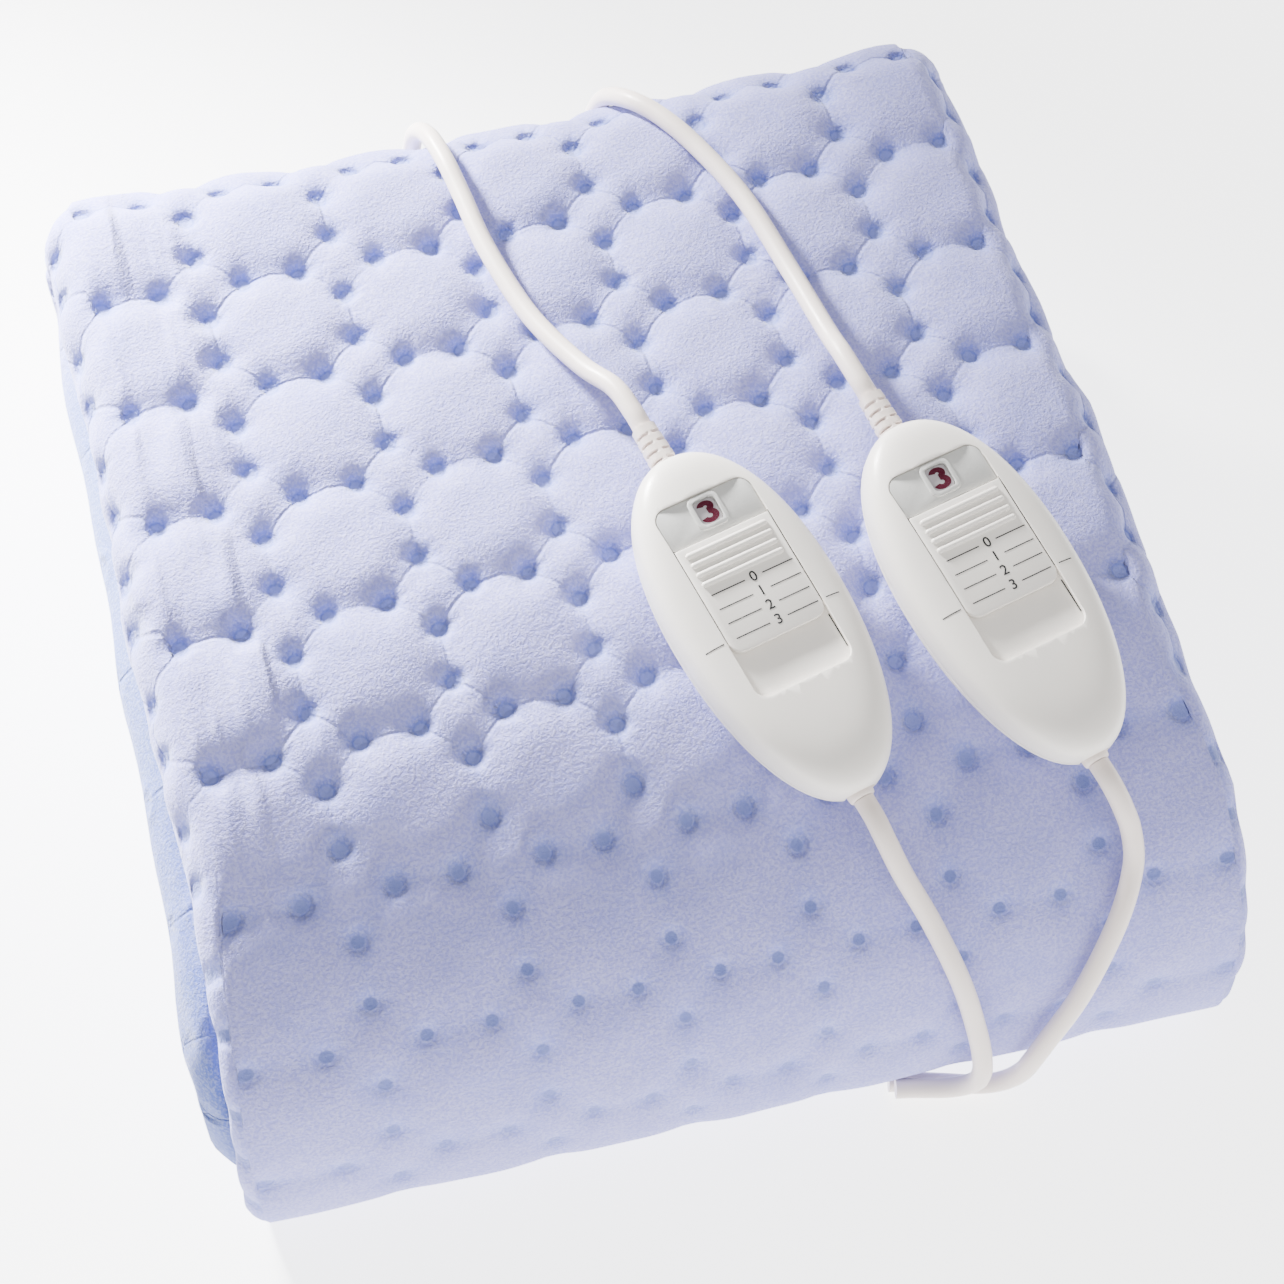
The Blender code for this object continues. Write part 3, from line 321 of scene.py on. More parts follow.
def fleece():
    """Short nap, bluer in the valleys, with a flat printed disc in a funnel at each spot weld; the darker,
    bluer valleys, funnels, creases and inner pass are painted shade.
    """
    m = Finish("fleece", Roughness=1.0, Sheen_Weight=0.25, Sheen_Roughness=0.5)
    m.shader.inputs["Specular IOR Level"].default_value = 0.1
    cell = m.node("Attribute", attribute_name="lattice")
    split = m.node("SeparateXYZ")
    m.feed(split.inputs[0], cell.outputs["Vector"])
    i, s, height = split.outputs
    x, y, r = nearest_weld(m, i, s)
    gathers = weld_gathers(m, (x, y, r), (m.minus(i, x), m.minus(s, y)), s)
    grain = m.noise(m.place(), GRAIN_SCALE, 2.0, 0.6)
    tufts = m.noise(m.place(), TUFT_SCALE, 3.0, 0.65)
    cloud = m.noise(m.place(), CLOUD_SCALE, 3.0, 0.5)

    on_face = m.times(m.smooth(s, *FACE_END), m.smooth(s, *FACE_START))
    front = m.smooth(s, *TO_FRONT)
    printed = m.times(m.smooth(r, WELD_EDGE[1], WELD_EDGE[0]), on_face)
    printed = m.times(printed, m.smooth(s, *PRINT_FADE))
    ring = m.smooth(m.math("ABSOLUTE", m.minus(r, WELD_RING)), RING_WIDTH, 0.0)
    ring = m.times(m.times(ring, on_face), m.minus(1.0, front))
    # Painted shade in the welds' funnels.
    funnel_shade = m.times(m.smooth(r, *FUNNEL_EDGE), m.smooth(s, *FUNNEL_FADE))
    well = m.times(m.smooth(r, *WELL_EDGE), m.smooth(s, *WELL_FADE))
    seams = m.times(pad_seams(m, i, s), m.smooth(s, *SEAM_FADE))

    # Painted shade on the inner pass, deeper towards the front.
    along = m.node("SeparateXYZ")
    m.feed(along.inputs[0], m.place())
    inner = m.mix(m.smooth(along.outputs[1], *INNER_FRONT), FLEECE_INNER_SHADED, INNER_SHADE)
    weld = m.mix(m.smooth(s, *WELD_DARKER), WELD_TOP, WELD_FRONT)
    # Painted shade: darker and bluer where the relief is low.
    base = m.mix(m.smooth(height, *LOW_TO_CROWN), FLEECE_LOW, FLEECE_CROWN)
    for share, colour in (
        # painted shade along the pads' creases
        (m.times(seams, CREASE_SHADE_SHARE), FLEECE_LOW),
        # painted shade deep in the welds' funnels
        (m.times(funnel_shade, FUNNEL_SHADE_SHARE), FLEECE_SHADE),
        # the inner pass in its painted shade
        (m.smooth(s, *INNER_ROWS), inner),
        (m.smooth(grain, *GRAIN_LIT[:2], 0.0, GRAIN_LIT[2]), NAP_LIGHT),
        (m.smooth(grain, *GRAIN_DIM[:2], 0.0, GRAIN_DIM[2]), FLEECE_LOW),
        (m.smooth(cloud, *CLOUD_DIM[:2], 0.0, CLOUD_DIM[2]), FLEECE_LOW),
        (printed, weld),
        # painted shade on the rim round each weld
        (m.times(ring, RING_SHADE_SHARE), FLEECE_SHADE),
    ):
        base = m.mix(share, base, colour)
    m.colour(base)
    bumped = None
    for form, rise in (
        (m.times(well, on_face), WELL_RISE),
        (gathers, GATHER_RISE),
        (edge_creases(m, i, s, r), CREASE_RISE),
        (m.times(seams, -1.0), SEAM_RISE),
        (tufts, TUFT_RISE),
        (grain, GRAIN_RISE),
    ):
        bumped = m.bump(form, rise, bumped)
    m.normal(bumped)
    return m.data


def pad_seams(m, i, s):
    """Sharp creases along the sides of the octagon pads, here and there softer; they are bumped and also
    painted with shade.
    """
    a, b = (m.math("ABSOLUTE", m.minus(v, m.math("ROUND", v))) for v in (i, s))
    corner = m.minus(0.5 + DOT, m.math("ADD", a, b))
    corner = m.math("DIVIDE", corner, math.sqrt(2))
    sides = m.math("MINIMUM", m.minus(0.5, a), m.minus(0.5, b))
    edge = m.math("ABSOLUTE", m.math("MINIMUM", sides, corner))
    strength = m.smooth(m.noise(m.place(), 32, 1.0), 0.35, 0.6, 0.3, 1.0)
    return m.times(m.smooth(edge, CREASE_WIDTH, 0.0), strength)


def nearest_weld(m, i, s):
    """Nodes for the way and the distance from the nearest spot weld, in pitches."""
    offsets = []
    for value in (i, s):
        part = m.minus(value, m.math("ROUND", value))
        offsets.append((m.math("ABSOLUTE", part), m.math("SIGN", part)))
    (a, sign_i), (b, sign_s) = offsets
    arms = []
    for at_a, at_b in ((DOT, 0.5), (0.5, DOT)):
        x, y = m.minus(a, at_a), m.minus(b, at_b)
        square = m.math("ADD", m.times(x, x), m.times(y, y))
        arms.append((x, y, m.math("SQRT", square)))
    (x1, y1, r1), (x2, y2, r2) = arms
    first = m.math("LESS_THAN", r1, r2)
    second = m.minus(1.0, first)
    x = m.math("ADD", m.times(x1, first), m.times(x2, second))
    y = m.math("ADD", m.times(y1, first), m.times(y2, second))
    r = m.math("MINIMUM", r1, r2)
    return m.times(x, sign_i), m.times(y, sign_s), r


def weld_gathers(m, from_weld, weld, s):
    """Soft folds that run out from the spot welds, a few at each and not at every one."""
    x, y, r = from_weld
    safe = m.math("MAXIMUM", r, 0.001)
    ray = m.node("CombineXYZ")
    for socket, part, place, stride in zip(ray.inputs, (x, y), weld, (7.3, 5.9)):
        m.feed(socket, m.math("ADD", m.math("DIVIDE", part, safe), m.times(place, stride)))
    folds = m.noise(ray.outputs[0], 1.5, 0.5)
    near = m.times(m.smooth(r, 0.22, 0.09), m.smooth(r, 0.045, 0.12))
    patches = m.smooth(m.noise(m.place(), 14, 1.0), 0.40, 0.62, 0.25, 1.0)
    strength = m.times(m.times(near, m.smooth(s, 6.4, 4.0)), patches)
    return m.times(folds, strength)


def edge_creases(m, i, s, r):
    """Long soft wrinkles along the column of pads next to the left edge."""
    lines = m.smooth(m.noise(m.place((85, 15, 15)), 1.0, 1.5, 0.5), 0.42, 0.68)
    zone = m.times(m.smooth(i, -0.30, -0.75), m.smooth(s, 5.2, 3.9))
    return m.times(m.times(lines, zone), m.smooth(r, 0.06, 0.2))


def plastic(name, colour, roughness, pores):
    """Moulded plastic with a fine spark-eroded texture and slightly uneven gloss."""
    m = Finish(name, Roughness=roughness, IOR=1.47)
    cloud = m.noise(m.place(), 45, 2.0)
    darker = tuple(0.955 * c for c in colour[:3]) + (1,)
    m.colour(m.mix(m.smooth(cloud, 0.3, 0.7), darker, colour))
    m.rough(m.smooth(m.noise(m.place(), 260, 2.0), 0.3, 0.7, roughness - 0.04, roughness + 0.05))
    m.normal(m.bump(m.noise(m.place(), 2200, 1.0), pores * 0.035 * MM))
    return m.data


def metal(name, colour, roughness):
    """Plated metal with faint drawing marks along its length."""
    m = Finish(name, Metallic=1.0)
    streaks = m.noise(m.place((90, 900, 900)), 1.0, 2.0)
    m.colour(m.mix(streaks, tuple(0.9 * c for c in colour[:3]) + (1,), colour))
    m.rough(m.smooth(streaks, 0.3, 0.7, roughness, roughness + 0.12))
    return m.data


def print_ink(name, colour):
    """Matt print, a little worn in specks."""
    m = Finish(name, Roughness=0.6)
    m.shader.inputs["Specular IOR Level"].default_value = 0.1
    speck = m.noise(m.place(), 3000, 2.0)
    m.colour(m.mix(m.smooth(speck, 0.45, 0.8, 0.0, 0.15), colour, WORN_INK))
    return m.data


# ---------------------------------------------------------------- pieces


FINISHES = {}  # the materials by name: a slot's own, and the prints'


def piece(name, data, slot, replaces=(), matrix=None, body="pack", finish=None):
    """A mesh or a curve as a piece of the object, riding on one of its bodies."""
    made = bpy.data.objects.new(name, data)
    bpy.context.scene.collection.objects.link(made)
    made.data.materials.append(FINISHES[finish or slot])
    if matrix is not None:
        made.matrix_world = matrix
    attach(made, body)
    if replaces:
        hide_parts(*replaces)
    return made


def mesh_from(bm, name, smooth_angle=40):
    bmesh.ops.recalc_face_normals(bm, faces=bm.faces)
    mesh = bpy.data.meshes.new(name)
    bm.to_mesh(mesh)
    bm.free()
    mesh.shade_smooth()
    mesh.set_sharp_from_angle(angle=math.radians(smooth_angle))
    return mesh


def holder(mesh):
    """An object that holds a mesh only while modifiers work on it."""
    made = bpy.data.objects.new("holder", mesh)
    bpy.context.scene.collection.objects.link(made)
    return made


def baked(made):
    """The object's evaluated mesh; the object itself goes."""
    bpy.context.view_layer.update()
    evaluated = made.evaluated_get(bpy.context.evaluated_depsgraph_get())
    mesh = bpy.data.meshes.new_from_object(evaluated)
    bpy.data.objects.remove(made)
    return mesh


def combined(mesh, tools, operation):
    """The mesh after a Boolean with each of the tools in turn."""
    base = holder(mesh)
    others = [holder(tool) for tool in tools]
    for other in others:
        step = base.modifiers.new("step", "BOOLEAN")
        step.operation = operation
        step.solver = "EXACT"
        step.object = other
    made = baked(base)
    for other in others:
        bpy.data.objects.remove(other)
    return made


def rounded(mesh, width, segments=3, angle=40):
    """The mesh with its edges rounded."""
    base = holder(mesh)
    step = base.modifiers.new("round", "BEVEL")
    step.width = width
    step.segments = segments
    step.limit_method = "ANGLE"
    step.angle_limit = math.radians(angle)
    made = baked(base)
    made.shade_smooth()
    made.set_sharp_from_angle(angle=math.radians(50))
    return made


def rounded_outline(width, low, high, low_radius, high_radius, steps=10):
    """Corner points of a rectangle from low to high with rounded corners."""
    half = width / 2
    corners = (
        (half, high, high_radius, 0),
        (-half, high, high_radius, 90),
        (-half, low, low_radius, 180),
        (half, low, low_radius, 270),
    )
    points = []
    for x, y, radius, start in corners:
        if radius == 0:
            points.append((x, y))
            continue
        centre_x = x - math.copysign(radius, x)
        centre_y = y - radius if y == high else y + radius
        for k in range(steps + 1):
            angle = math.radians(start + 90 * k / steps)
            points.append((centre_x + radius * math.cos(angle), centre_y + radius * math.sin(angle)))
    return points


def plate(outline, bottom, top):
    """A mesh of a flat outline between two heights."""
    bm = bmesh.new()
    face = bm.faces.new([bm.verts.new((x, y, bottom)) for x, y in outline])
    raised = bmesh.ops.extrude_face_region(bm, geom=[face])
    up = [v for v in raised["geom"] if isinstance(v, bmesh.types.BMVert)]
    bmesh.ops.translate(bm, vec=(0, 0, top - bottom), verts=up)
    return mesh_from(bm, "plate")


def lathe(profile, segments=32):
    """A mesh turned about Y from (y, radius) points; an end with radius 0 closes in a point."""
    bm = bmesh.new()
    rings = []
    for y, radius in profile:
        if radius == 0:
            rings.append([bm.verts.new((0, y, 0))])
            continue
        turns = [2 * math.pi * k / segments for k in range(segments)]
        rings.append([bm.verts.new((radius * math.cos(t), y, radius * math.sin(t))) for t in turns])
    for near, far in zip(rings, rings[1:]):
        for k in range(segments):
            corners = [near[k % len(near)], near[(k + 1) % len(near)]]
            corners += [far[(k + 1) % len(far)], far[k % len(far)]]
            bm.faces.new(list(dict.fromkeys(corners)))
    for ring in (rings[0], rings[-1]):
        if len(ring) > 1:
            bm.faces.new(ring)
    return mesh_from(bm, "lathe")


# ---------------------------------------------------------------- the cloth


def ramp(value, low, high):
    return np.clip((value - low) / (high - low), 0, 1)


def smooth_step(value, low, high):
    t = ramp(value, low, high)
    return t * t * (3 - 2 * t)


class Profile:
    """The pack's outer face seen from the side, by distance along the cloth from the back."""

    def __init__(self):
        self.s = np.linspace(SLOPE[0][0], SLOPE[-1][0], 1861)
        step = self.s[1] - self.s[0]
        knots, degrees = zip(*SLOPE)
        slope = np.radians(np.interp(self.s, knots, degrees))
        forward = np.cumsum(np.cos(slope)) * step
        down = np.cumsum(np.sin(slope)) * step
        start = np.searchsorted(self.s, TOP_START_J)
        self.j = forward - forward[start] + TOP_START_J
        self.drop = (down - down[start]) * PITCH
        self.height = self.drop[-1]

    def point(self, s):
        """(j, z) of the outer face."""
        return np.interp(s, self.s, self.j), self.height - np.interp(s, self.s, self.drop)

    def top(self, j):
        upper = self.s < 6
        return self.height - np.interp(j, self.j[upper], self.drop[upper])


def to_plane(j, z):
    """A lattice row and a height, as a point of the pack's side view: x is +Y in the world."""
    return Vector(((CENTRE_J - j) * PITCH, z))


def middle(profile, j):
    j = min(j, FOCUS_J)
    return to_plane(j, profile.top(j) / 2)


def outer_share(j):
    return 0.5 + (BEND_SHARE - 0.5) * smooth_step(j, *BEND_RAMP)


def outer_station(profile, s):
    """Where the strip's outer face lies in the outer pass, the way into it, and its thickness."""
    j, z = profile.point(s)
    face = to_plane(j, z)
    inward = middle(profile, j) - face
    depth = inward.length
    return face, inward.normalized(), depth * outer_share(j) - WRAP_GAP / 2


def inner_station(profile, s):
    """The same for the inner pass, whose outer face looks at the middle line."""
    j, z = profile.point(s)
    core = middle(profile, j)
    outward = to_plane(j, z) - core
    depth = outward.length
    outward.normalize()
    start = WRAP_GAP / 2 + FOLD_SLACK * smooth_step(j, FOCUS_J - 0.8, FOCUS_J)
    return core + outward * start, outward, depth * (1 - outer_share(j)) - WRAP_GAP / 2 - start


def back_station(profile, turn):
    """The same round the back fold, by the turn from the top pass to the one below it."""
    face, inward, thickness = outer_station(profile, TOP_START_J)
    lower, _, lower_thickness = inner_station(profile, TOP_START_J)
    upper_radius = thickness + WRAP_GAP / 4
    centre = face + inward * upper_radius
    radius = upper_radius + (centre.y - lower.y - upper_radius) * (1 - math.cos(turn)) / 2
    out = Vector((math.sin(turn), math.cos(turn)))
    share = turn / math.pi
    thickness -= FOLD_SLACK * math.sqrt(max(math.sin(turn), 0))
    return centre + out * radius, -out, thickness + (lower_thickness - thickness) * share


def fine_lines(low, high):
    """Places where the mesh has a line, close together at the welds, in rising order."""
    lines = FINE_LINES + tuple(-line for line in FINE_LINES[1:-1])
    places = sorted(k + line for k in range(math.floor(low), math.ceil(high) + 1) for line in lines)
    return [place for place in places if low < place < high]


def rows(profile):
    """The strip's cross rows: (face point, way in, thickness, s, place along the pack, pass)."""
    made = []
    lead_in = FIRST_ROW + 0.5
    for j in np.linspace(BACK_END, FOCUS_J, 16):
        thickness = middle(profile, j).y * outer_share(j) - WRAP_GAP / 2
        made.append((to_plane(j, 0), Vector((0, 1)), thickness, lead_in + FOCUS_J - j, j, "under"))
    for line in (FIRST_ROW, *reversed(fine_lines(TOP_START_J, UNDER_START))):
        s = line - np.interp(line, *zip(*ROW_DRIFT), left=0, right=0)
        made.append((*outer_station(profile, s), line, profile.point(s)[0], "outer"))
    radius = profile.height / 4 / PITCH
    end = TOP_START_J - math.pi * radius
    for s in (*reversed(fine_lines(end + 0.03, TOP_START_J)), end):
        turn = (TOP_START_J - s) / radius
        j = TOP_START_J - radius * math.sin(turn)
        part = "outer" if turn < math.pi / 2 else "inner"
        made.append((*back_station(profile, turn), s, j, part))
    for s in np.linspace(-0.9, 8.28, 44):
        j = profile.point(s)[0]
        made.append((*inner_station(profile, s), end + TOP_START_J - s, j, "inner"))
    for j in np.linspace(4.2, BACK_END, 14):
        core = middle(profile, j)
        thickness = core.y * (1 - outer_share(j)) - WRAP_GAP
        at = core - Vector((0, WRAP_GAP / 2))
        made.append((at, Vector((0, -1)), thickness, end - 14 + j, j, "inner"))
    return made


def relief_share(s):
    """Pads stand high on the top, fade round the front fold and are flat where cloth lies on them."""
    high = 1 + (FRONT_RELIEF - 1) * ramp(s, *FRONT_FADE)
    return high * (1 - ramp(s, *UNDER_FADE)) * ramp(s, *BACK_FADE)


def pad_variety(i, s):
    """Each pad is filled a little more or less than the next."""
    cells = np.round(i) * 12.9898 + np.round(s) * 78.233
    value = np.sin(cells) * 43758.5453
    return 1 + 0.16 * (value - np.floor(value) - 0.5)


def quilting(i, s):
    """Height of the quilted face over its welds, from 0 to about 1."""
    i = i + 0.010 * np.sin(2.3 * s + 0.7) + 0.006 * np.sin(5.1 * i + 3.1 * s)
    s = s + 0.010 * np.sin(1.9 * i + 2.1) + 0.006 * np.sin(4.3 * s - 2.7 * i)
    a, b = np.abs(i - np.round(i)), np.abs(s - np.round(s))
    past_corner = (a + b - (0.5 + DOT)) / math.sqrt(2)
    inside = np.minimum(np.minimum(0.5 - a, 0.5 - b), -past_corner)
    pad = 1 - (1 - np.clip(inside / 0.5, 0, 1)) ** PAD_POWER
    small = 1 - (1 - np.clip(past_corner / DOT, 0, 1)) ** 2
    height = VALLEY + (1 - VALLEY) * pad * pad_variety(i, s) + (SMALL_PAD - VALLEY) * small
    reach = np.minimum(np.hypot(a - DOT, b - 0.5), np.hypot(a - 0.5, b - DOT))
    reach = np.maximum(reach - WELD_FLAT, 0)
    return height * (1 - np.exp(-((reach / PULL) ** PULL_POWER)))


def skew(x, y):
    """How far the front or the back of the pack is pulled forward at a place on its plan."""
    j = CENTRE_J - y / PITCH
    hollow = BACK_HOLLOW * (2 * (x / (3.5 * PITCH)) ** 2 - 1) * smooth_step(-j, -0.5, 1.2)
    return FRONT_SKEW * x * smooth_step(j, 3.2, 5.4) - hollow


def side_edges(place, part):
    """The lattice columns of the left and the right edge."""
    wave = EDGE_WAVE * (math.sin(2.1 * place) + 0.6 * math.sin(4.7 * place + 1))
    if part == "under":
        return LEFT_UNDER_I, RIGHT_UNDER_I
    table = LEFT_OUTER if part == "outer" else LEFT_INNER
    left = np.interp(place, *zip(*table))
    right = np.interp(place, *zip(*RIGHT_SIDE))
    return left + wave, right - wave - (RIGHT_STEP if part == "inner" else 0)


def cross_section(thickness, place, part, s):
    """The gate fold across the strip: (x, depth, cloth thickness, column, share of relief)."""
    layer = (thickness - HEM_GAP) / 2
    left, right = side_edges(place, part)
    turn = (layer + HEM_GAP) / 2
    reach = EDGE_FLATNESS * turn + (1 - EDGE_STRETCH) * layer / 2
    left_centre, right_centre = left * PITCH + reach, right * PITCH - reach
    split = (left_centre + right_centre) / 2
    lower = thickness - layer / 2

    def arc(centre, side, angle, column, weld_column, weld_turn):
        turned = math.radians(angle)
        across = centre + side * EDGE_FLATNESS * turn * math.sin(turned)
        cloth = layer * (1 - EDGE_STRETCH * math.sin(turned))
        if angle <= weld_turn:
            column += (weld_column - column) * angle / weld_turn
        else:
            column = weld_column + side * math.radians(angle - weld_turn) * (turn + layer / 2) / PITCH
        share = SIDE_RELIEF + (1 - SIDE_RELIEF) * max(math.cos(turned), 0)
        share *= 1 - smooth_step(angle, 95, 140)
        return across, thickness / 2 - turn * math.cos(turned), cloth, column, share

    def flap(a, b, column_a, column_b, count=5):
        shares = [(k + 0.5) / count for k in range(count)]
        return [(a + (b - a) * t, lower, layer, column_a + (column_b - column_a) * t, 0) for t in shares]

    left_i, right_i = left_centre / PITCH, right_centre / PITCH
    left_arc = [arc(left_centre, -1, a, left_i, LEFT_WELDS, LEFT_WELD_TURN) for a in reversed(LEFT_ARC)]
    right_arc = [arc(right_centre, 1, a, right_i, RIGHT_WELDS, RIGHT_WELD_TURN) for a in RIGHT_ARC]
    first, last = left_arc[0][3], right_arc[-1][3]
    made = flap(split - HEM_SPLIT / 2, left_centre, first - 3.3, first)
    made += left_arc
    columns = np.array(TOP_COLUMNS)
    part_of = (columns - columns[0]) / (columns[-1] - columns[0])
    places = (columns - FRONT_DRAW * (columns - MIDDLE_I) * smooth_step(s, 3.5, 5.5)) * PITCH
    places += (left_centre - places[0] + 0.5 * MM) * (1 - part_of) ** 8
    places += (right_centre - places[-1] - 0.5 * MM) * part_of**8
    made += [(x, layer / 2, layer, column, 1) for x, column in zip(places, TOP_COLUMNS)]
    made += right_arc
    made += flap(right_centre, split + HEM_SPLIT / 2, last, last + 3.3)
    return made


TOP_COLUMNS = fine_lines(-1.28, 5.29)


def cloth_piece():
    """The folded strip: a dense grid on its middle, offset to an outer and an inner skin."""
    profile = Profile()
    stations = rows(profile)
    points, cloths, lattice, shares = [], [], [], []
    for face, inward, thickness, s, place, part in stations:
        for x, depth, cloth, column, share in cross_section(thickness, place, part, s):
            at = face + inward * depth
            x -= CENTRE_I * PITCH
            points.append((x, at.x - skew(x, at.x), at.y))
            cloths.append(cloth)
            lattice.append((column, s))
            shares.append(share)
    count = len(stations)
    points = np.array(points).reshape(count, -1, 3)
    width = points.shape[1]
    cloths = np.array(cloths).reshape(count, width)
    column, s = np.moveaxis(np.array(lattice).reshape(count, width, 2), 2, 0)
    shares = np.array(shares).reshape(count, width) * relief_share(s)
    across, along = np.gradient(points, axis=1), np.gradient(points, axis=0)
    normals = np.cross(along, across)
    normals /= np.linalg.norm(normals, axis=2, keepdims=True)
    if normals[count // 3, width // 2, 2] < 0:
        normals = -normals
    inward = np.array([(0, d.x, d.y) for _, d, *_ in stations])[:, None, :]
    lean = np.abs((normals * inward).sum(axis=2))
    half = cloths * np.maximum(np.maximum(lean, np.abs(normals[..., 0])), 0.8) / 2

    height = quilting(column, s)
    puff = RELIEF * shares * height
    slack = 0.45 * MM * np.sin(9.1 * column + 2.3 * s) * np.sin(6.7 * s - 1.9 * column + 0.8)
    puff += slack * ramp(shares, 0.05, 0.5)
    outer = points + normals * (half + puff)[..., None]
    inner = points - normals * half[..., None]
    shown = ramp(shares, 0, 0.6)
    write_cloth(outer, inner, column, s, height * shown + 0.6 * (1 - shown))


def write_cloth(outer, inner, column, s, height):
    """Join the two skins with rounded rims and store each point's place in the quilting."""
    count, width = column.shape
    rim = [(r, 0) for r in range(count)] + [(count - 1, c) for c in range(1, width)]
    rim += [(r, width - 1) for r in range(count - 2, -1, -1)] + [(0, c) for c in range(width - 2, 0, -1)]
    centre = (outer + inner) / 2
    bulges = []
    for r, c in rim:
        inside = centre[min(max(r, 1), count - 2), min(max(c, 1), width - 2)]
        out = centre[r, c] - inside
        out /= np.linalg.norm(out)
        half = (outer[r, c] - inner[r, c]) / 2
        size = np.linalg.norm(half)
        for turn in (45, 90, 135):
            turned = math.radians(turn)
            reach = min(0.35 * size, 1.2 * MM)
            bulges.append(centre[r, c] + half * math.cos(turned) + out * reach * math.sin(turned))
    verts = np.concatenate([outer.reshape(-1, 3), inner.reshape(-1, 3), np.array(bulges)])
    ids = np.arange(count * width).reshape(count, width)
    back = ids + count * width
    faces = []
    for skin, flip in ((ids, False), (back, True)):
        quads = np.stack([skin[:-1, :-1], skin[1:, :-1], skin[1:, 1:], skin[:-1, 1:]], axis=2)
        quads = quads.reshape(-1, 4)
        faces += (quads[:, ::-1] if flip else quads).tolist()
    start = 2 * count * width
    for k, (here, there) in enumerate(zip(rim, rim[1:] + rim[:1])):
        k_next = (k + 1) % len(rim)
        near = [ids[here], *(start + 3 * k + n for n in range(3)), back[here]]
        far = [ids[there], *(start + 3 * k_next + n for n in range(3)), back[there]]
        faces += [(near[n], near[n + 1], far[n + 1], far[n]) for n in range(4)]
    mesh = bpy.data.meshes.new("cloth")
    mesh.from_pydata(verts.tolist(), [], faces)
    flat = np.stack([column, s, height], axis=2).reshape(-1, 3)
    rims = np.repeat([(column[r, c], s[r, c], 0.6) for r, c in rim], 3, axis=0)
    lattice = mesh.attributes.new("lattice", "FLOAT_VECTOR", "POINT")
    lattice.data.foreach_set("vector", np.concatenate([flat, flat, rims]).astype(np.float32).ravel())
    bm = bmesh.new()
    bm.from_mesh(mesh)
    bmesh.ops.recalc_face_normals(bm, faces=bm.faces)
    bm.to_mesh(mesh)
    bm.free()
    mesh.shade_smooth()
    made = piece("folded_blanket", mesh, "fleece", ["blanket"])


# ---------------------------------------------------------------- the hand controls


def egg(unit):
    """A point of the unit sphere, moved to the control's smooth egg shape."""
    depth, (fullness, crown) = (ABOVE_SEAM, EGG_FACE) if unit.z > 0 else (BELOW_SEAM, EGG_BACK)
    flat = math.hypot(unit.x, unit.y)
    if flat < 1e-6:
        return Vector((0, 0, math.copysign(depth, unit.z)))
    cosine, sine = unit.x / flat, unit.y / flat
    full = flat**fullness
    x = math.copysign(abs(cosine) ** EGG_ENDS, cosine) * full * BODY_WIDTH / 2
    y = math.copysign(abs(sine) ** EGG_SIDES, sine) * full * BODY_LENGTH / 2
    x *= 1 + EGG_TAPER * y / (BODY_LENGTH / 2)
    return Vector((x, y, math.copysign(abs(unit.z) ** crown, unit.z) * depth))


def half_body(upper):
    """The part of the egg above or below the seam, closed flat there; housing() rounds its edges
    afterwards.
    """
    bm = bmesh.new()
    bmesh.ops.create_uvsphere(bm, u_segments=96, v_segments=64, radius=1)
    for vert in bm.verts:
        vert.co = egg(vert.co)
    side = 1 if upper else -1
    geometry = bm.verts[:] + bm.edges[:] + bm.faces[:]
    cut = bmesh.ops.bisect_plane(
        bm, geom=geometry, plane_co=(0, 0, side * GAP / 2), plane_no=(0, 0, -side), clear_outer=True
    )
    edges = [e for e in cut["geom_cut"] if isinstance(e, bmesh.types.BMEdge)]
    bmesh.ops.edgeloop_fill(bm, edges=edges)
    return mesh_from(bm, "half")


def housing(place, name):
    """The two halves, the upper one with its sunk panel."""
    recess = rounded_outline(PANEL_WIDTH, PANEL_BOTTOM, PANEL_TOP, PANEL_RADIUS, PANEL_RADIUS)
    sockets = []
    for start, width, way in ((GUARD_START, GUARD_WIDTH, 1), (COLLAR_START, COLLAR_WIDTH, -1)):
        radius, end = width / 2 + GAP, start + way * SOCKET_DEPTH
        sockets.append(lathe([(start, 0), (start, radius), (end, radius), (end, 0)]))
    cutter = plate(recess, PANEL_FLOOR, ABOVE_SEAM + 5 * MM)
    cover = combined(half_body(True), [cutter, *(s.copy() for s in sockets)], "DIFFERENCE")
    cover = rounded(cover, HOUSING_EDGE, 2, 35)
    base = combined(half_body(False), sockets, "DIFFERENCE")
    base = rounded(base, HOUSING_EDGE, 2, 35)
    piece(f"housing_top_{name}", cover, "housing", [f"control_cover_{name}"], place)
    piece(f"housing_back_{name}", base, "housing", [f"control_base_{name}"], place)
    return cover


def bar(bm, a, b, width, rise, surface=None):
    """A thin flat line from a to b in bm, for print or for painted shade; surface gives the height under a
    place.
    """
    a, b = Vector(a), Vector(b)
    side = Vector((a.y - b.y, b.x - a.x)).normalized() * width / 2
    steps = 6
    previous = None
    for k in range(steps + 1):
        at = a.lerp(b, k / steps)
        level = surface(at.x, at.y) if surface else 0
        pair = [bm.verts.new((p.x, p.y, level + rise)) for p in (at + side, at - side)]
        if previous:
            bm.faces.new((*previous, pair[1], pair[0]))
        previous = pair


def add_digit(bm, digit, y, rise):
    """A plain number of the scale, added to bm."""
    curve = bpy.data.curves.new("digit", "FONT")
    curve.body = digit
    curve.size = DIGIT_HEIGHT / 0.72
    curve.align_x = "CENTER"
    curve.align_y = "CENTER"
    curve.offset = DIGIT_WEIGHT
    curve.extrude = PRINT_DEPTH
    mesh = baked(holder(curve))
    mesh.transform(Matrix.Translation((DIGIT_X, y, rise)))
    bm.from_mesh(mesh)
    bpy.data.meshes.remove(mesh)


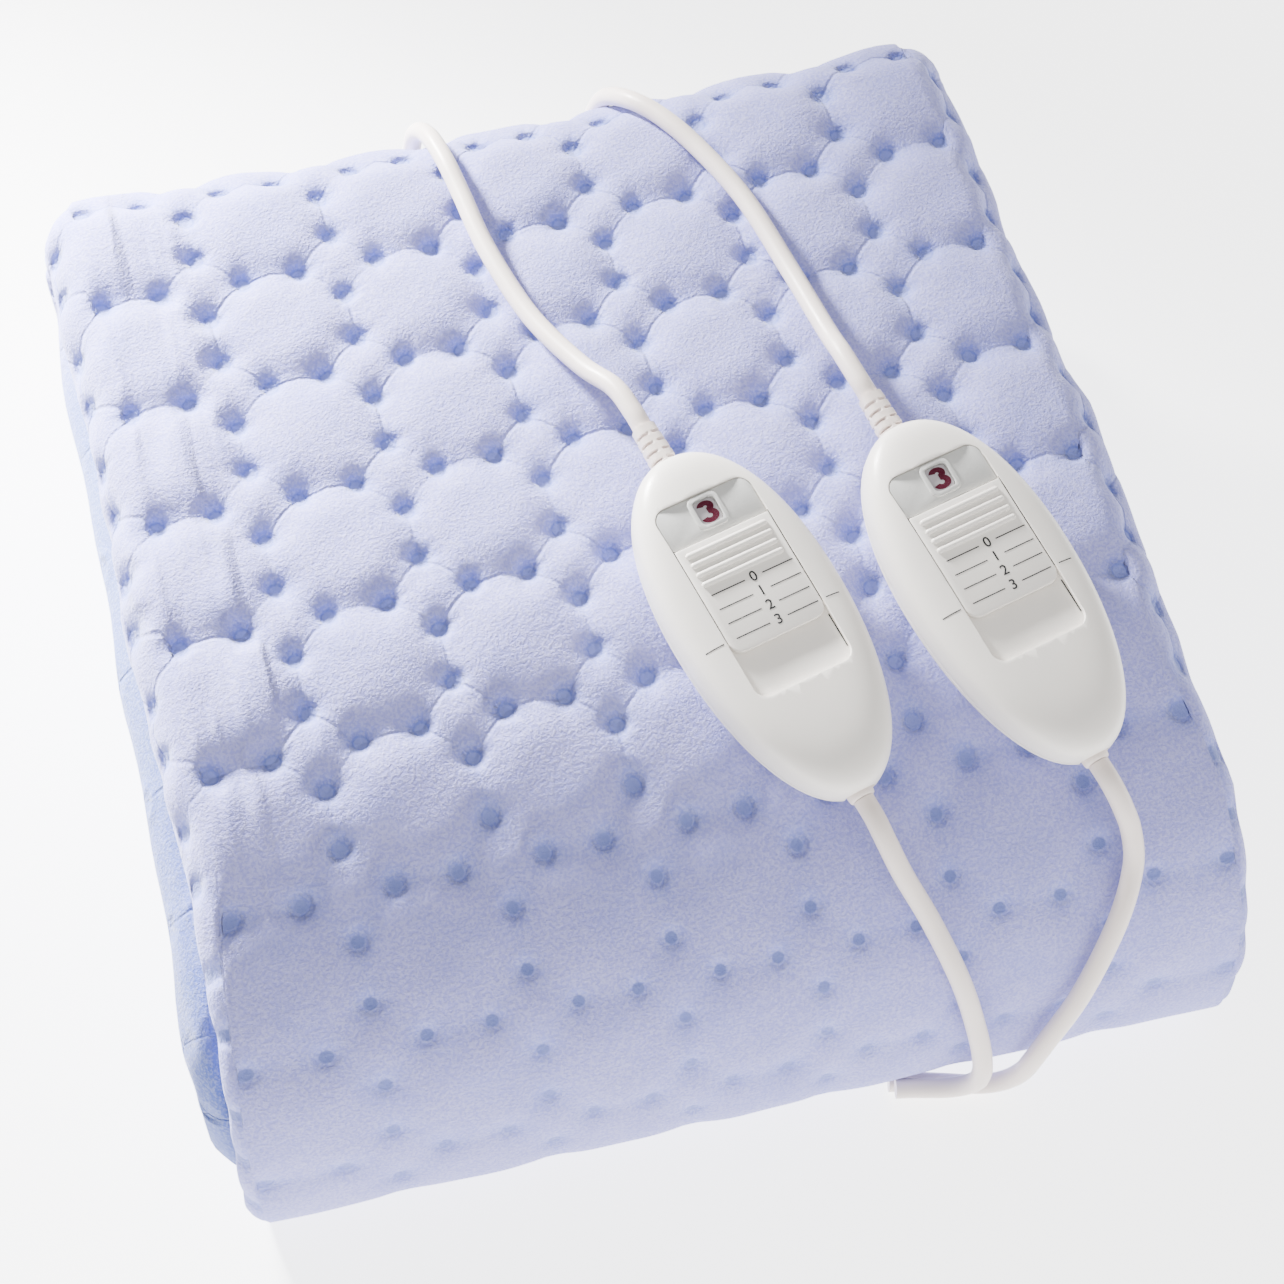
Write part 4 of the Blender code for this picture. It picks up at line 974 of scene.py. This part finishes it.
def bold_three(bm, height, stroke, y, level):
    """A bold 3 as a flat ribbon round two bowls, the lower one a little larger."""
    upper, lower = height * 0.275, height * 0.310
    bowls = (
        (y + height / 2 - upper, upper, 165, -90, level),
        (y - height / 2 + lower, lower, 90, -165, level + 0.01 * MM),
    )
    for middle_y, radius, start, end, level in bowls:
        ring = []
        for k in range(25):
            turn = math.radians(start + (end - start) * k / 24)
            pair = []
            for reach in (radius, radius - stroke):
                across = NUMBER_BREADTH * reach * math.cos(turn)
                spot = (across, middle_y + reach * math.sin(turn), level)
                pair.append(bm.verts.new(spot))
            ring.append(pair)
        for near, far in zip(ring, ring[1:]):
            bm.faces.new((near[0], near[1], far[1], far[0]))


def display(place, name):
    """The grey strip with its raised window, the pane, and the number behind it."""
    inside = PANEL_WIDTH - 2 * SIDE_PLAY
    low, high = WINDOW_Y - WINDOW_HEIGHT / 2, WINDOW_Y + WINDOW_HEIGHT / 2
    outline = rounded_outline(inside, STRIP_BOTTOM, PANEL_TOP - SIDE_PLAY, 0, PANEL_RADIUS - SIDE_PLAY)
    strip = plate(outline, PANEL_FLOOR + GAP, STRIP_LEVEL)
    around = rounded_outline(
        WINDOW_WIDTH + 2 * BEZEL_WALL, low - BEZEL_WALL, high + BEZEL_WALL, BEZEL_RADIUS, BEZEL_RADIUS
    )
    bezel = rounded(plate(around, PANEL_FLOOR + 1.5 * GAP, STRIP_LEVEL + BEZEL_RISE), 0.35 * MM)
    hole = rounded_outline(WINDOW_WIDTH, low, high, WINDOW_RADIUS, WINDOW_RADIUS)
    opening = plate(hole, PANEL_FLOOR - MM, STRIP_LEVEL + 5 * MM)
    strip = combined(combined(strip, [bezel], "UNION"), [opening], "DIFFERENCE")
    strip = rounded(strip, 0.15 * MM, 2)
    piece(f"display_frame_{name}", strip, "display_frame", [f"display_strip_{name}"], place)
    corner = WINDOW_RADIUS - GAP
    pane_outline = rounded_outline(WINDOW_WIDTH - 2 * GAP, low + GAP, high - GAP, corner, corner)
    pane = plate(pane_outline, PANEL_FLOOR + GAP, STRIP_LEVEL - PANE_DEPTH)
    piece(f"display_pane_{name}", pane, "display_pane", [f"display_window_{name}"], place)
    bm = bmesh.new()
    bold_three(bm, NUMBER_HEIGHT, NUMBER_STROKE, WINDOW_Y, STRIP_LEVEL - PANE_DEPTH + PRINT_RISE)
    number = mesh_from(bm, "number")
    piece(f"display_number_{name}", number, "display_pane", (), place, finish="number_red")


def slider(place, name):
    """The sliding switch with its grip ridges and printed scale."""
    body = f"slider_{name}"
    inside = PANEL_WIDTH - 2 * SIDE_PLAY
    outline = rounded_outline(inside, SLIDER_BOTTOM, SLIDER_TOP, PANEL_RADIUS - SIDE_PLAY, 0)
    shape = rounded(plate(outline, PANEL_FLOOR + GAP, SLIDER_LEVEL), 0.4 * MM, 3)
    ridges = []
    for k in range(RIDGE_COUNT):
        reach = RIDGE_LENGTH / 2
        turns = (0, 0.5, 1.0, 1.4)  # round each end, in radians
        ends = [(RIDGE_RADIUS * (1 - math.cos(t)), RIDGE_RADIUS * math.sin(t)) for t in turns]
        profile = [(-reach + a, r) for a, r in ends] + [(reach - a, r) for a, r in reversed(ends)]
        ridge = lathe(profile, 20)
        ridge.transform(Matrix.Rotation(math.radians(-90), 4, "Z"))
        ridge.transform(Matrix.Translation((0, RIDGE_FIRST - k * RIDGE_PITCH, SLIDER_LEVEL)))
        ridges.append(ridge)
    shape = combined(shape, ridges, "UNION")
    shape.shade_smooth()
    shape.set_sharp_from_angle(angle=math.radians(50))
    piece(f"switch_{name}", shape, "switch", [body], place, body)
    bm = bmesh.new()
    rise = SLIDER_LEVEL + PRINT_RISE
    for number, at in SCALE_NUMBERS:
        y = at * MM
        for start, end in SCALE_LINES:
            bar(bm, (start * MM, y), (end * MM, y), LINE_WIDTH, rise)
        add_digit(bm, number, y, rise)
    piece(f"switch_print_{name}", mesh_from(bm, "print"), "switch", (), place, body, "ink")


def index_lines(place, name, cover):
    """The two short lines on the housing beside the scale, and thin dark strips along the switch that
    paint the shade of the gaps there.
    """
    tree = BVHTree.FromPolygons([v.co for v in cover.vertices], [p.vertices for p in cover.polygons])

    def surface(x, y):
        return tree.ray_cast(Vector((x, y, 0.05)), Vector((0, 0, -1)))[0].z

    bm = bmesh.new()
    y = SCALE_NUMBERS[-1][1] * MM
    for start, end in INDEX_LINES:
        bar(bm, (start * MM, y), (end * MM, y), LINE_WIDTH, PRINT_RISE, surface)
    piece(f"index_lines_{name}", mesh_from(bm, "lines"), "housing", (), place, finish="ink")
    # Painted shade: thin strips in the print's black along the switch's sides, where the gaps lie in
    # shade.
    bm = bmesh.new()
    side = (PANEL_WIDTH - SEAM_SHADE) / 2
    low = (PANEL_BOTTOM + PANEL_RADIUS, SLIDER_BOTTOM, SEAM_SHADE, PANEL_FLOOR + PRINT_RISE)
    high = (SLIDER_BOTTOM + PANEL_RADIUS, STRIP_BOTTOM, SEAM_SHADE * 0.7, SLIDER_LEVEL - 0.4 * MM)
    for x in (-side, side):
        for start, end, width, level in (low, high):
            bar(bm, (x, start), (x, end), width, level)
    piece(f"painted_gap_shade_{name}", mesh_from(bm, "gap"), "housing", (), place, finish="ink")


def ribbed_guard(length, width, tip, start=0.0):
    """A strain relief along Y: a tapered sleeve with two columns of slots on each side."""
    steps, segments = 90, 48
    bm = bmesh.new()
    rings = []
    for n in range(steps + 1):
        y = n / steps
        outer = (width + (tip - width) * y) / 2
        groove = max(0.0, math.sin(2 * math.pi * (y * (GUARD_SLOTS + 0.5) - 0.2)))
        groove = smooth_step(groove, 0.55, 0.85) * (0.06 < y < 0.95)
        ring = []
        for k in range(segments):
            turn = 2 * math.pi * k / segments
            spine = smooth_step(abs(math.sin(2 * turn)), 0.35, 0.7)
            radius = outer * (1 - SLOT_DEPTH * groove * spine) * (1 - 0.05 * math.cos(4 * turn))
            spot = (radius * math.cos(turn), start + y * length, radius * math.sin(turn))
            ring.append(bm.verts.new(spot))
        rings.append(ring)
    for near, far in zip(rings, rings[1:]):
        for k in range(segments):
            bm.faces.new((near[k], near[(k + 1) % segments], far[(k + 1) % segments], far[k]))
    bm.faces.new(rings[0])
    bm.faces.new(rings[-1])
    return mesh_from(bm, "guard", 60)


def control(name, spot, heading, tilt):
    turn = Matrix.Rotation(math.radians(heading), 4, "Z") @ Matrix.Rotation(math.radians(tilt), 4, "X")
    place = Matrix.Translation(Vector(spot) * MM) @ turn
    cover = housing(place, name)
    display(place, name)
    slider(place, name)
    index_lines(place, name, cover)
    guard = ribbed_guard(GUARD_LENGTH, GUARD_WIDTH, GUARD_TIP, GUARD_START + GAP)
    piece(f"lead_guard_{name}", guard, "strain_relief", [f"cable_guard_{name}"], place)
    start, half, tip = COLLAR_START - GAP, COLLAR_WIDTH / 2, COLLAR_TIP / 2
    end = start - COLLAR_LENGTH
    profile = [(start, 0), (start, half), (end + MM, tip + 0.1 * MM), (end + 0.3 * MM, tip - 0.1 * MM)]
    profile += [(end, tip - 0.5 * MM), (end, 0)]
    piece(f"lead_collar_{name}", lathe(profile), "strain_relief", [f"cable_collar_{name}"], place)


# ---------------------------------------------------------------- the cords


def smooth_route(points):
    """Points on a smooth curve through a route's own points."""
    knots = [Vector(p) for p in points]
    knots = [2 * knots[0] - knots[1]] + knots + [2 * knots[-1] - knots[-2]]
    fine = []
    for a, b, c, d in zip(knots, knots[1:], knots[2:], knots[3:]):
        for k in range(ROUTE_STEPS):
            t = k / ROUTE_STEPS
            square = (2 * a - 5 * b + 4 * c - d) * t * t
            fine.append(0.5 * (2 * b + (c - a) * t + square + (3 * b - a - 3 * c + d) * t**3))
    fine.append(knots[-2])
    return fine


def eased(value, low, high):
    return float(smooth_step(value, low, high))


def hank_turns():
    """The wound cord: (along, across, up) from where the lead lands to where the tail leaves.

    It lies four deep, outer above, outer below, inner below and inner above, and changes its
    level on the side away from the tie.
    """
    half, outer, inner = HANK_RUN / 2, HANK_FOLD + CORD_D, HANK_FOLD
    low = HANK_UNDER + CORD_D / 2
    high, over, last = low + CORD_D, low + 2 * CORD_D + 0.35 * MM, low + 2 * CORD_D + 1.6 * MM
    landing, leaving = 22 * MM, -33 * MM
    points = []

    def run(start, end, across, level):
        count = 22
        for k in range(count):
            along = start + (end - start) * k / count
            points.append(Vector((along, across, level(k / count))))

    def bend(along, across, radius, far, level):
        """Half a turn: round the far end from back to front, or the near end from front to back."""
        count = 26
        for k in range(count):
            angle = math.radians(90 - 180 * k / count if far else 270 - 180 * k / count)
            spot = (along + radius * math.cos(angle), across + radius * math.sin(angle))
            points.append(Vector((*spot, level(k / count))))

    run(landing, half, outer, lambda t: over + (high - over) * 0.75 * t * t)
    rest = over + (high - over) * 0.75
    bend(half, 0, outer, True, lambda t: rest + (high - rest) * eased(t, 0, 0.3))
    run(half, -half, -outer, lambda t: high)
    bend(-half, 0, outer, False, lambda t: high)
    run(-half, landing, outer, lambda t: high + (low - high) * eased(t, 0.12, 0.95))
    run(landing, half, outer, lambda t: low)
    bend(half, 0, outer, True, lambda t: low)
    shift = (outer - inner) / 2
    run(half, -half - shift, -outer, lambda t: low)
    bend(-half - shift, -shift, inner + shift, False, lambda t: low)
    run(-half - shift, half, inner, lambda t: low)
    bend(half, 0, inner, True, lambda t: low)
    run(half, -half, -inner, lambda t: low)
    bend(-half, 0, inner, False, lambda t: low + (high - low) * eased(t, 0.02, 0.7))
    run(-half, half, inner, lambda t: high)
    bend(half, 0, inner, True, lambda t: high)
    run(half, -half, -inner, lambda t: high)
    bend(-half, 0, inner, False, lambda t: high + (last - high) * eased(t, 0.02, 0.95))
    run(-half, leaving, inner, lambda t: last)
    return points


def cord_curve(name, points, replaces):
    """A round cord along dense points."""
    curve = bpy.data.curves.new(name, "CURVE")
    curve.dimensions = "3D"
    curve.bevel_depth = CORD_D / 2
    curve.bevel_resolution = 5
    curve.use_fill_caps = True
    spline = curve.splines.new("POLY")
    spline.points.add(len(points) - 1)
    for point, at in zip(spline.points, points):
        point.co = (*at, 1)
    spline.use_smooth = True
    return piece(name, curve, "cord_jacket", replaces)


def mains_cord(name):
    centre, way, _ = HANKS[name]

    def placed(p):
        return Vector((centre + way * p.x, HANK_Y + p.y, p.z))

    lead = smooth_route([Vector(p) * MM for p in MAINS_ROUTES[name]])
    tail = [Vector(p) * MM for p in TAIL_ROUTE]
    turns = hank_turns()
    tail = smooth_route([turns[-1], *tail])[1:]
    points = lead + [placed(p) for p in turns[1:] + tail]
    nodes = [f"mains_lead_{name}", f"mains_hank_{name}", f"mains_tail_{name}"]
    made = cord_curve(f"mains_cord_{name}", points, nodes)


def blanket_cord(name):
    points = smooth_route([Vector(p) * MM for p in BLANKET_ROUTES[name]])
    made = cord_curve(f"blanket_cord_{name}", points, [f"blanket_lead_{name}"])


def hank_tie(name):
    """A flat strap round the wound cord."""
    centre, _, along = HANKS[name]
    reach = HANK_FOLD + 1.5 * CORD_D + GAP + TIE_THICKNESS / 2
    top = HANK_UNDER + 2 * CORD_D + GAP + TIE_THICKNESS / 2
    low = HANK_UNDER - GAP - TIE_THICKNESS / 2
    curve = bpy.data.curves.new("tie", "CURVE")
    curve.dimensions = "2D"
    curve.fill_mode = "NONE"
    curve.extrude = TIE_WIDTH / 2 - TIE_THICKNESS / 2
    curve.bevel_depth = TIE_THICKNESS / 2
    curve.bevel_resolution = 3
    spline = curve.splines.new("POLY")
    outline = rounded_outline(2 * reach, low, top, 3 * MM, 3 * MM, 8)
    spline.points.add(len(outline) - 1)
    for point, at in zip(spline.points, outline):
        point.co = (*at, 0, 1)
    spline.use_cyclic_u = True
    stand = Matrix.Rotation(math.radians(90), 4, "Z") @ Matrix.Rotation(math.radians(90), 4, "X")
    place = Matrix.Translation((centre + along, HANK_Y, 0)) @ stand
    return piece(f"cord_tie_{name}", curve, "tie", [f"hank_tie_{name}"], place)


def plug(name):
    """A flat two-pin plug with its guard; returns its pieces."""
    centre, way, _ = HANKS[name]
    level = HANK_UNDER + 2 * CORD_D + GAP + PLUG_HEIGHT / 2
    spot = (centre + way * PLUG_SHIFT, HANK_Y + PLUG_OFFSET, level)
    place = Matrix.Translation(spot) @ Matrix.Rotation(math.radians(-90 * way), 4, "Z")
    start, half, back = PLUG_GUARD, PLUG_WIDTH / 2, PLUG_BACK_WIDTH / 2
    outline = []
    for k in range(13):
        t = k / 12
        flare = back + (half - back) * smooth_step(t, 0, 1)
        outline.append((flare, start + PLUG_SHOULDER * t))
    outline.append((half, start + PLUG_LENGTH))
    outline += [(-x, y) for x, y in reversed(outline)]
    shape = rounded(plate(outline, -PLUG_HEIGHT / 2, PLUG_HEIGHT / 2), PLUG_EDGE, 6, 50)
    grips = []
    for k in range(GRIP_COUNT):
        at = start + GRIP_FIRST + GRIP_PITCH * k
        groove = rounded_outline(GRIP_LENGTH, at, at + GRIP_WIDTH, 0, 0)
        for face in (-PLUG_HEIGHT / 2, PLUG_HEIGHT / 2):
            grips.append(plate(groove, face - GRIP_DEPTH, face + GRIP_DEPTH))
    shape = combined(shape, grips, "DIFFERENCE")
    shape.shade_smooth()
    shape.set_sharp_from_angle(angle=math.radians(40))
    made = [piece(f"plug_body_{name}", shape, "plug_body", [f"plug_{name}"], place)]
    guard = ribbed_guard(PLUG_GUARD - GAP, GUARD_TIP, PLUG_GUARD_WIDTH)
    made.append(piece(f"plug_relief_{name}", guard, "strain_relief", [f"plug_guard_{name}"], place))
    face = start + PLUG_LENGTH + GAP
    radius, end, sleeve = PIN_D / 2, face + PIN_LENGTH, face + PIN_SLEEVE
    profile = [(face, 0), (face, radius - 0.1 * MM), (sleeve - 0.2 * MM, radius - 0.1 * MM)]
    profile += [(sleeve, radius), (end - 1.6 * MM, radius), (end - 0.8 * MM, radius * 0.86)]
    profile += [(end - 0.2 * MM, radius * 0.5), (end, 0)]
    for side, label in ((-1, "a"), (1, "b")):
        at = place @ Matrix.Translation((side * PIN_SPACING / 2, 0, 0))
        pin, node = lathe(profile, 24), f"plug_pin_{label}_{name}"
        made.append(piece(f"pin_{label}_{name}", pin, "plug_pin", [node], at))
    return made


# ---------------------------------------------------------------- the studio


def camera():
    made = bpy.data.objects.new("camera", bpy.data.cameras.new("camera"))
    bpy.context.scene.collection.objects.link(made)
    heading, tilt, roll = (math.radians(a) for a in (CAMERA_HEADING, CAMERA_TILT, CAMERA_ROLL))
    turn = Matrix.Rotation(heading, 4, "Z") @ Matrix.Rotation(tilt, 4, "X") @ Matrix.Rotation(roll, 4, "Z")
    made.matrix_world = Matrix.Translation(CAMERA_AT) @ turn
    made.data.lens = CAMERA_LENS
    made.data.sensor_width = CAMERA_SENSOR
    made.data.clip_start = 0.01
    bpy.context.scene.camera = made


def area_light(name, at, aim, size, power, spread):
    data = bpy.data.lights.new(name, "AREA")
    data.shape = "DISK"
    data.size = size
    data.energy = power
    data.spread = math.radians(spread)
    made = bpy.data.objects.new(name, data)
    bpy.context.scene.collection.objects.link(made)
    made.location = at
    made.rotation_euler = (Vector(aim) - Vector(at)).to_track_quat("-Z", "Y").to_euler()


def studio():
    camera()
    area_light("key", **KEY_LIGHT)
    area_light("front", **FRONT_LIGHT)
    world = bpy.data.worlds.new("studio")
    world.use_nodes = True
    surround = world.node_tree.nodes["Background"].inputs
    surround["Color"].default_value = (1, 1, 1, 1)
    surround["Strength"].default_value = SURROUND
    bpy.context.scene.world = world
    bm = bmesh.new()
    bmesh.ops.create_grid(bm, x_segments=1, y_segments=1, size=FLOOR_SIZE)
    floor = bpy.data.objects.new("shelf_floor", mesh_from(bm, "floor"))
    bpy.context.scene.collection.objects.link(floor)
    floor.location.z = min(solid_low.z, 0) - FLOOR_DROP
    m = Finish("floor", Roughness=0.9, Emission_Color=(1, 1, 1, 1), Emission_Strength=FLOOR_GLOW)
    m.colour(m.mix(m.smooth(m.noise(m.place(), 8, 2.0), 0.2, 0.8), *FLOOR_GREYS))
    floor.data.materials.append(m.data)


def add_finishes():
    for name, colour, roughness, pores in (
        ("housing", WARM_WHITE, 0.34, 1.0),
        ("switch", WARM_WHITE, 0.32, 0.6),
        ("display_frame", STRIP_GREY, 0.30, 0.5),
        ("display_pane", PANE_GREY, 0.12, 0.2),
        ("strain_relief", CORD_WHITE, 0.42, 1.0),
        ("cord_jacket", CORD_WHITE, 0.40, 1.0),
        ("plug_body", CORD_WHITE, 0.42, 1.0),
        ("tie", TIE_WHITE, 0.45, 1.0),
    ):
        FINISHES[name] = plastic(name, colour, roughness, pores)
    FINISHES["number_red"] = print_ink("number_red", NUMBER_RED)
    FINISHES["ink"] = print_ink("ink", INK_BLACK)
    FINISHES["plug_pin"] = metal("plug_pin", NICKEL, 0.18)
    FINISHES["fleece"] = fleece()


def main():
    studio()
    add_finishes()
    for name in SIDES:
        on_it = plug(name)
        on_it.append(hank_tie(name))
        mains_cord(name)
        blanket_cord(name)
    for name, spot, heading, tilt in CONTROLS:
        control(name, spot, heading, tilt)
    cloth_piece()


main()
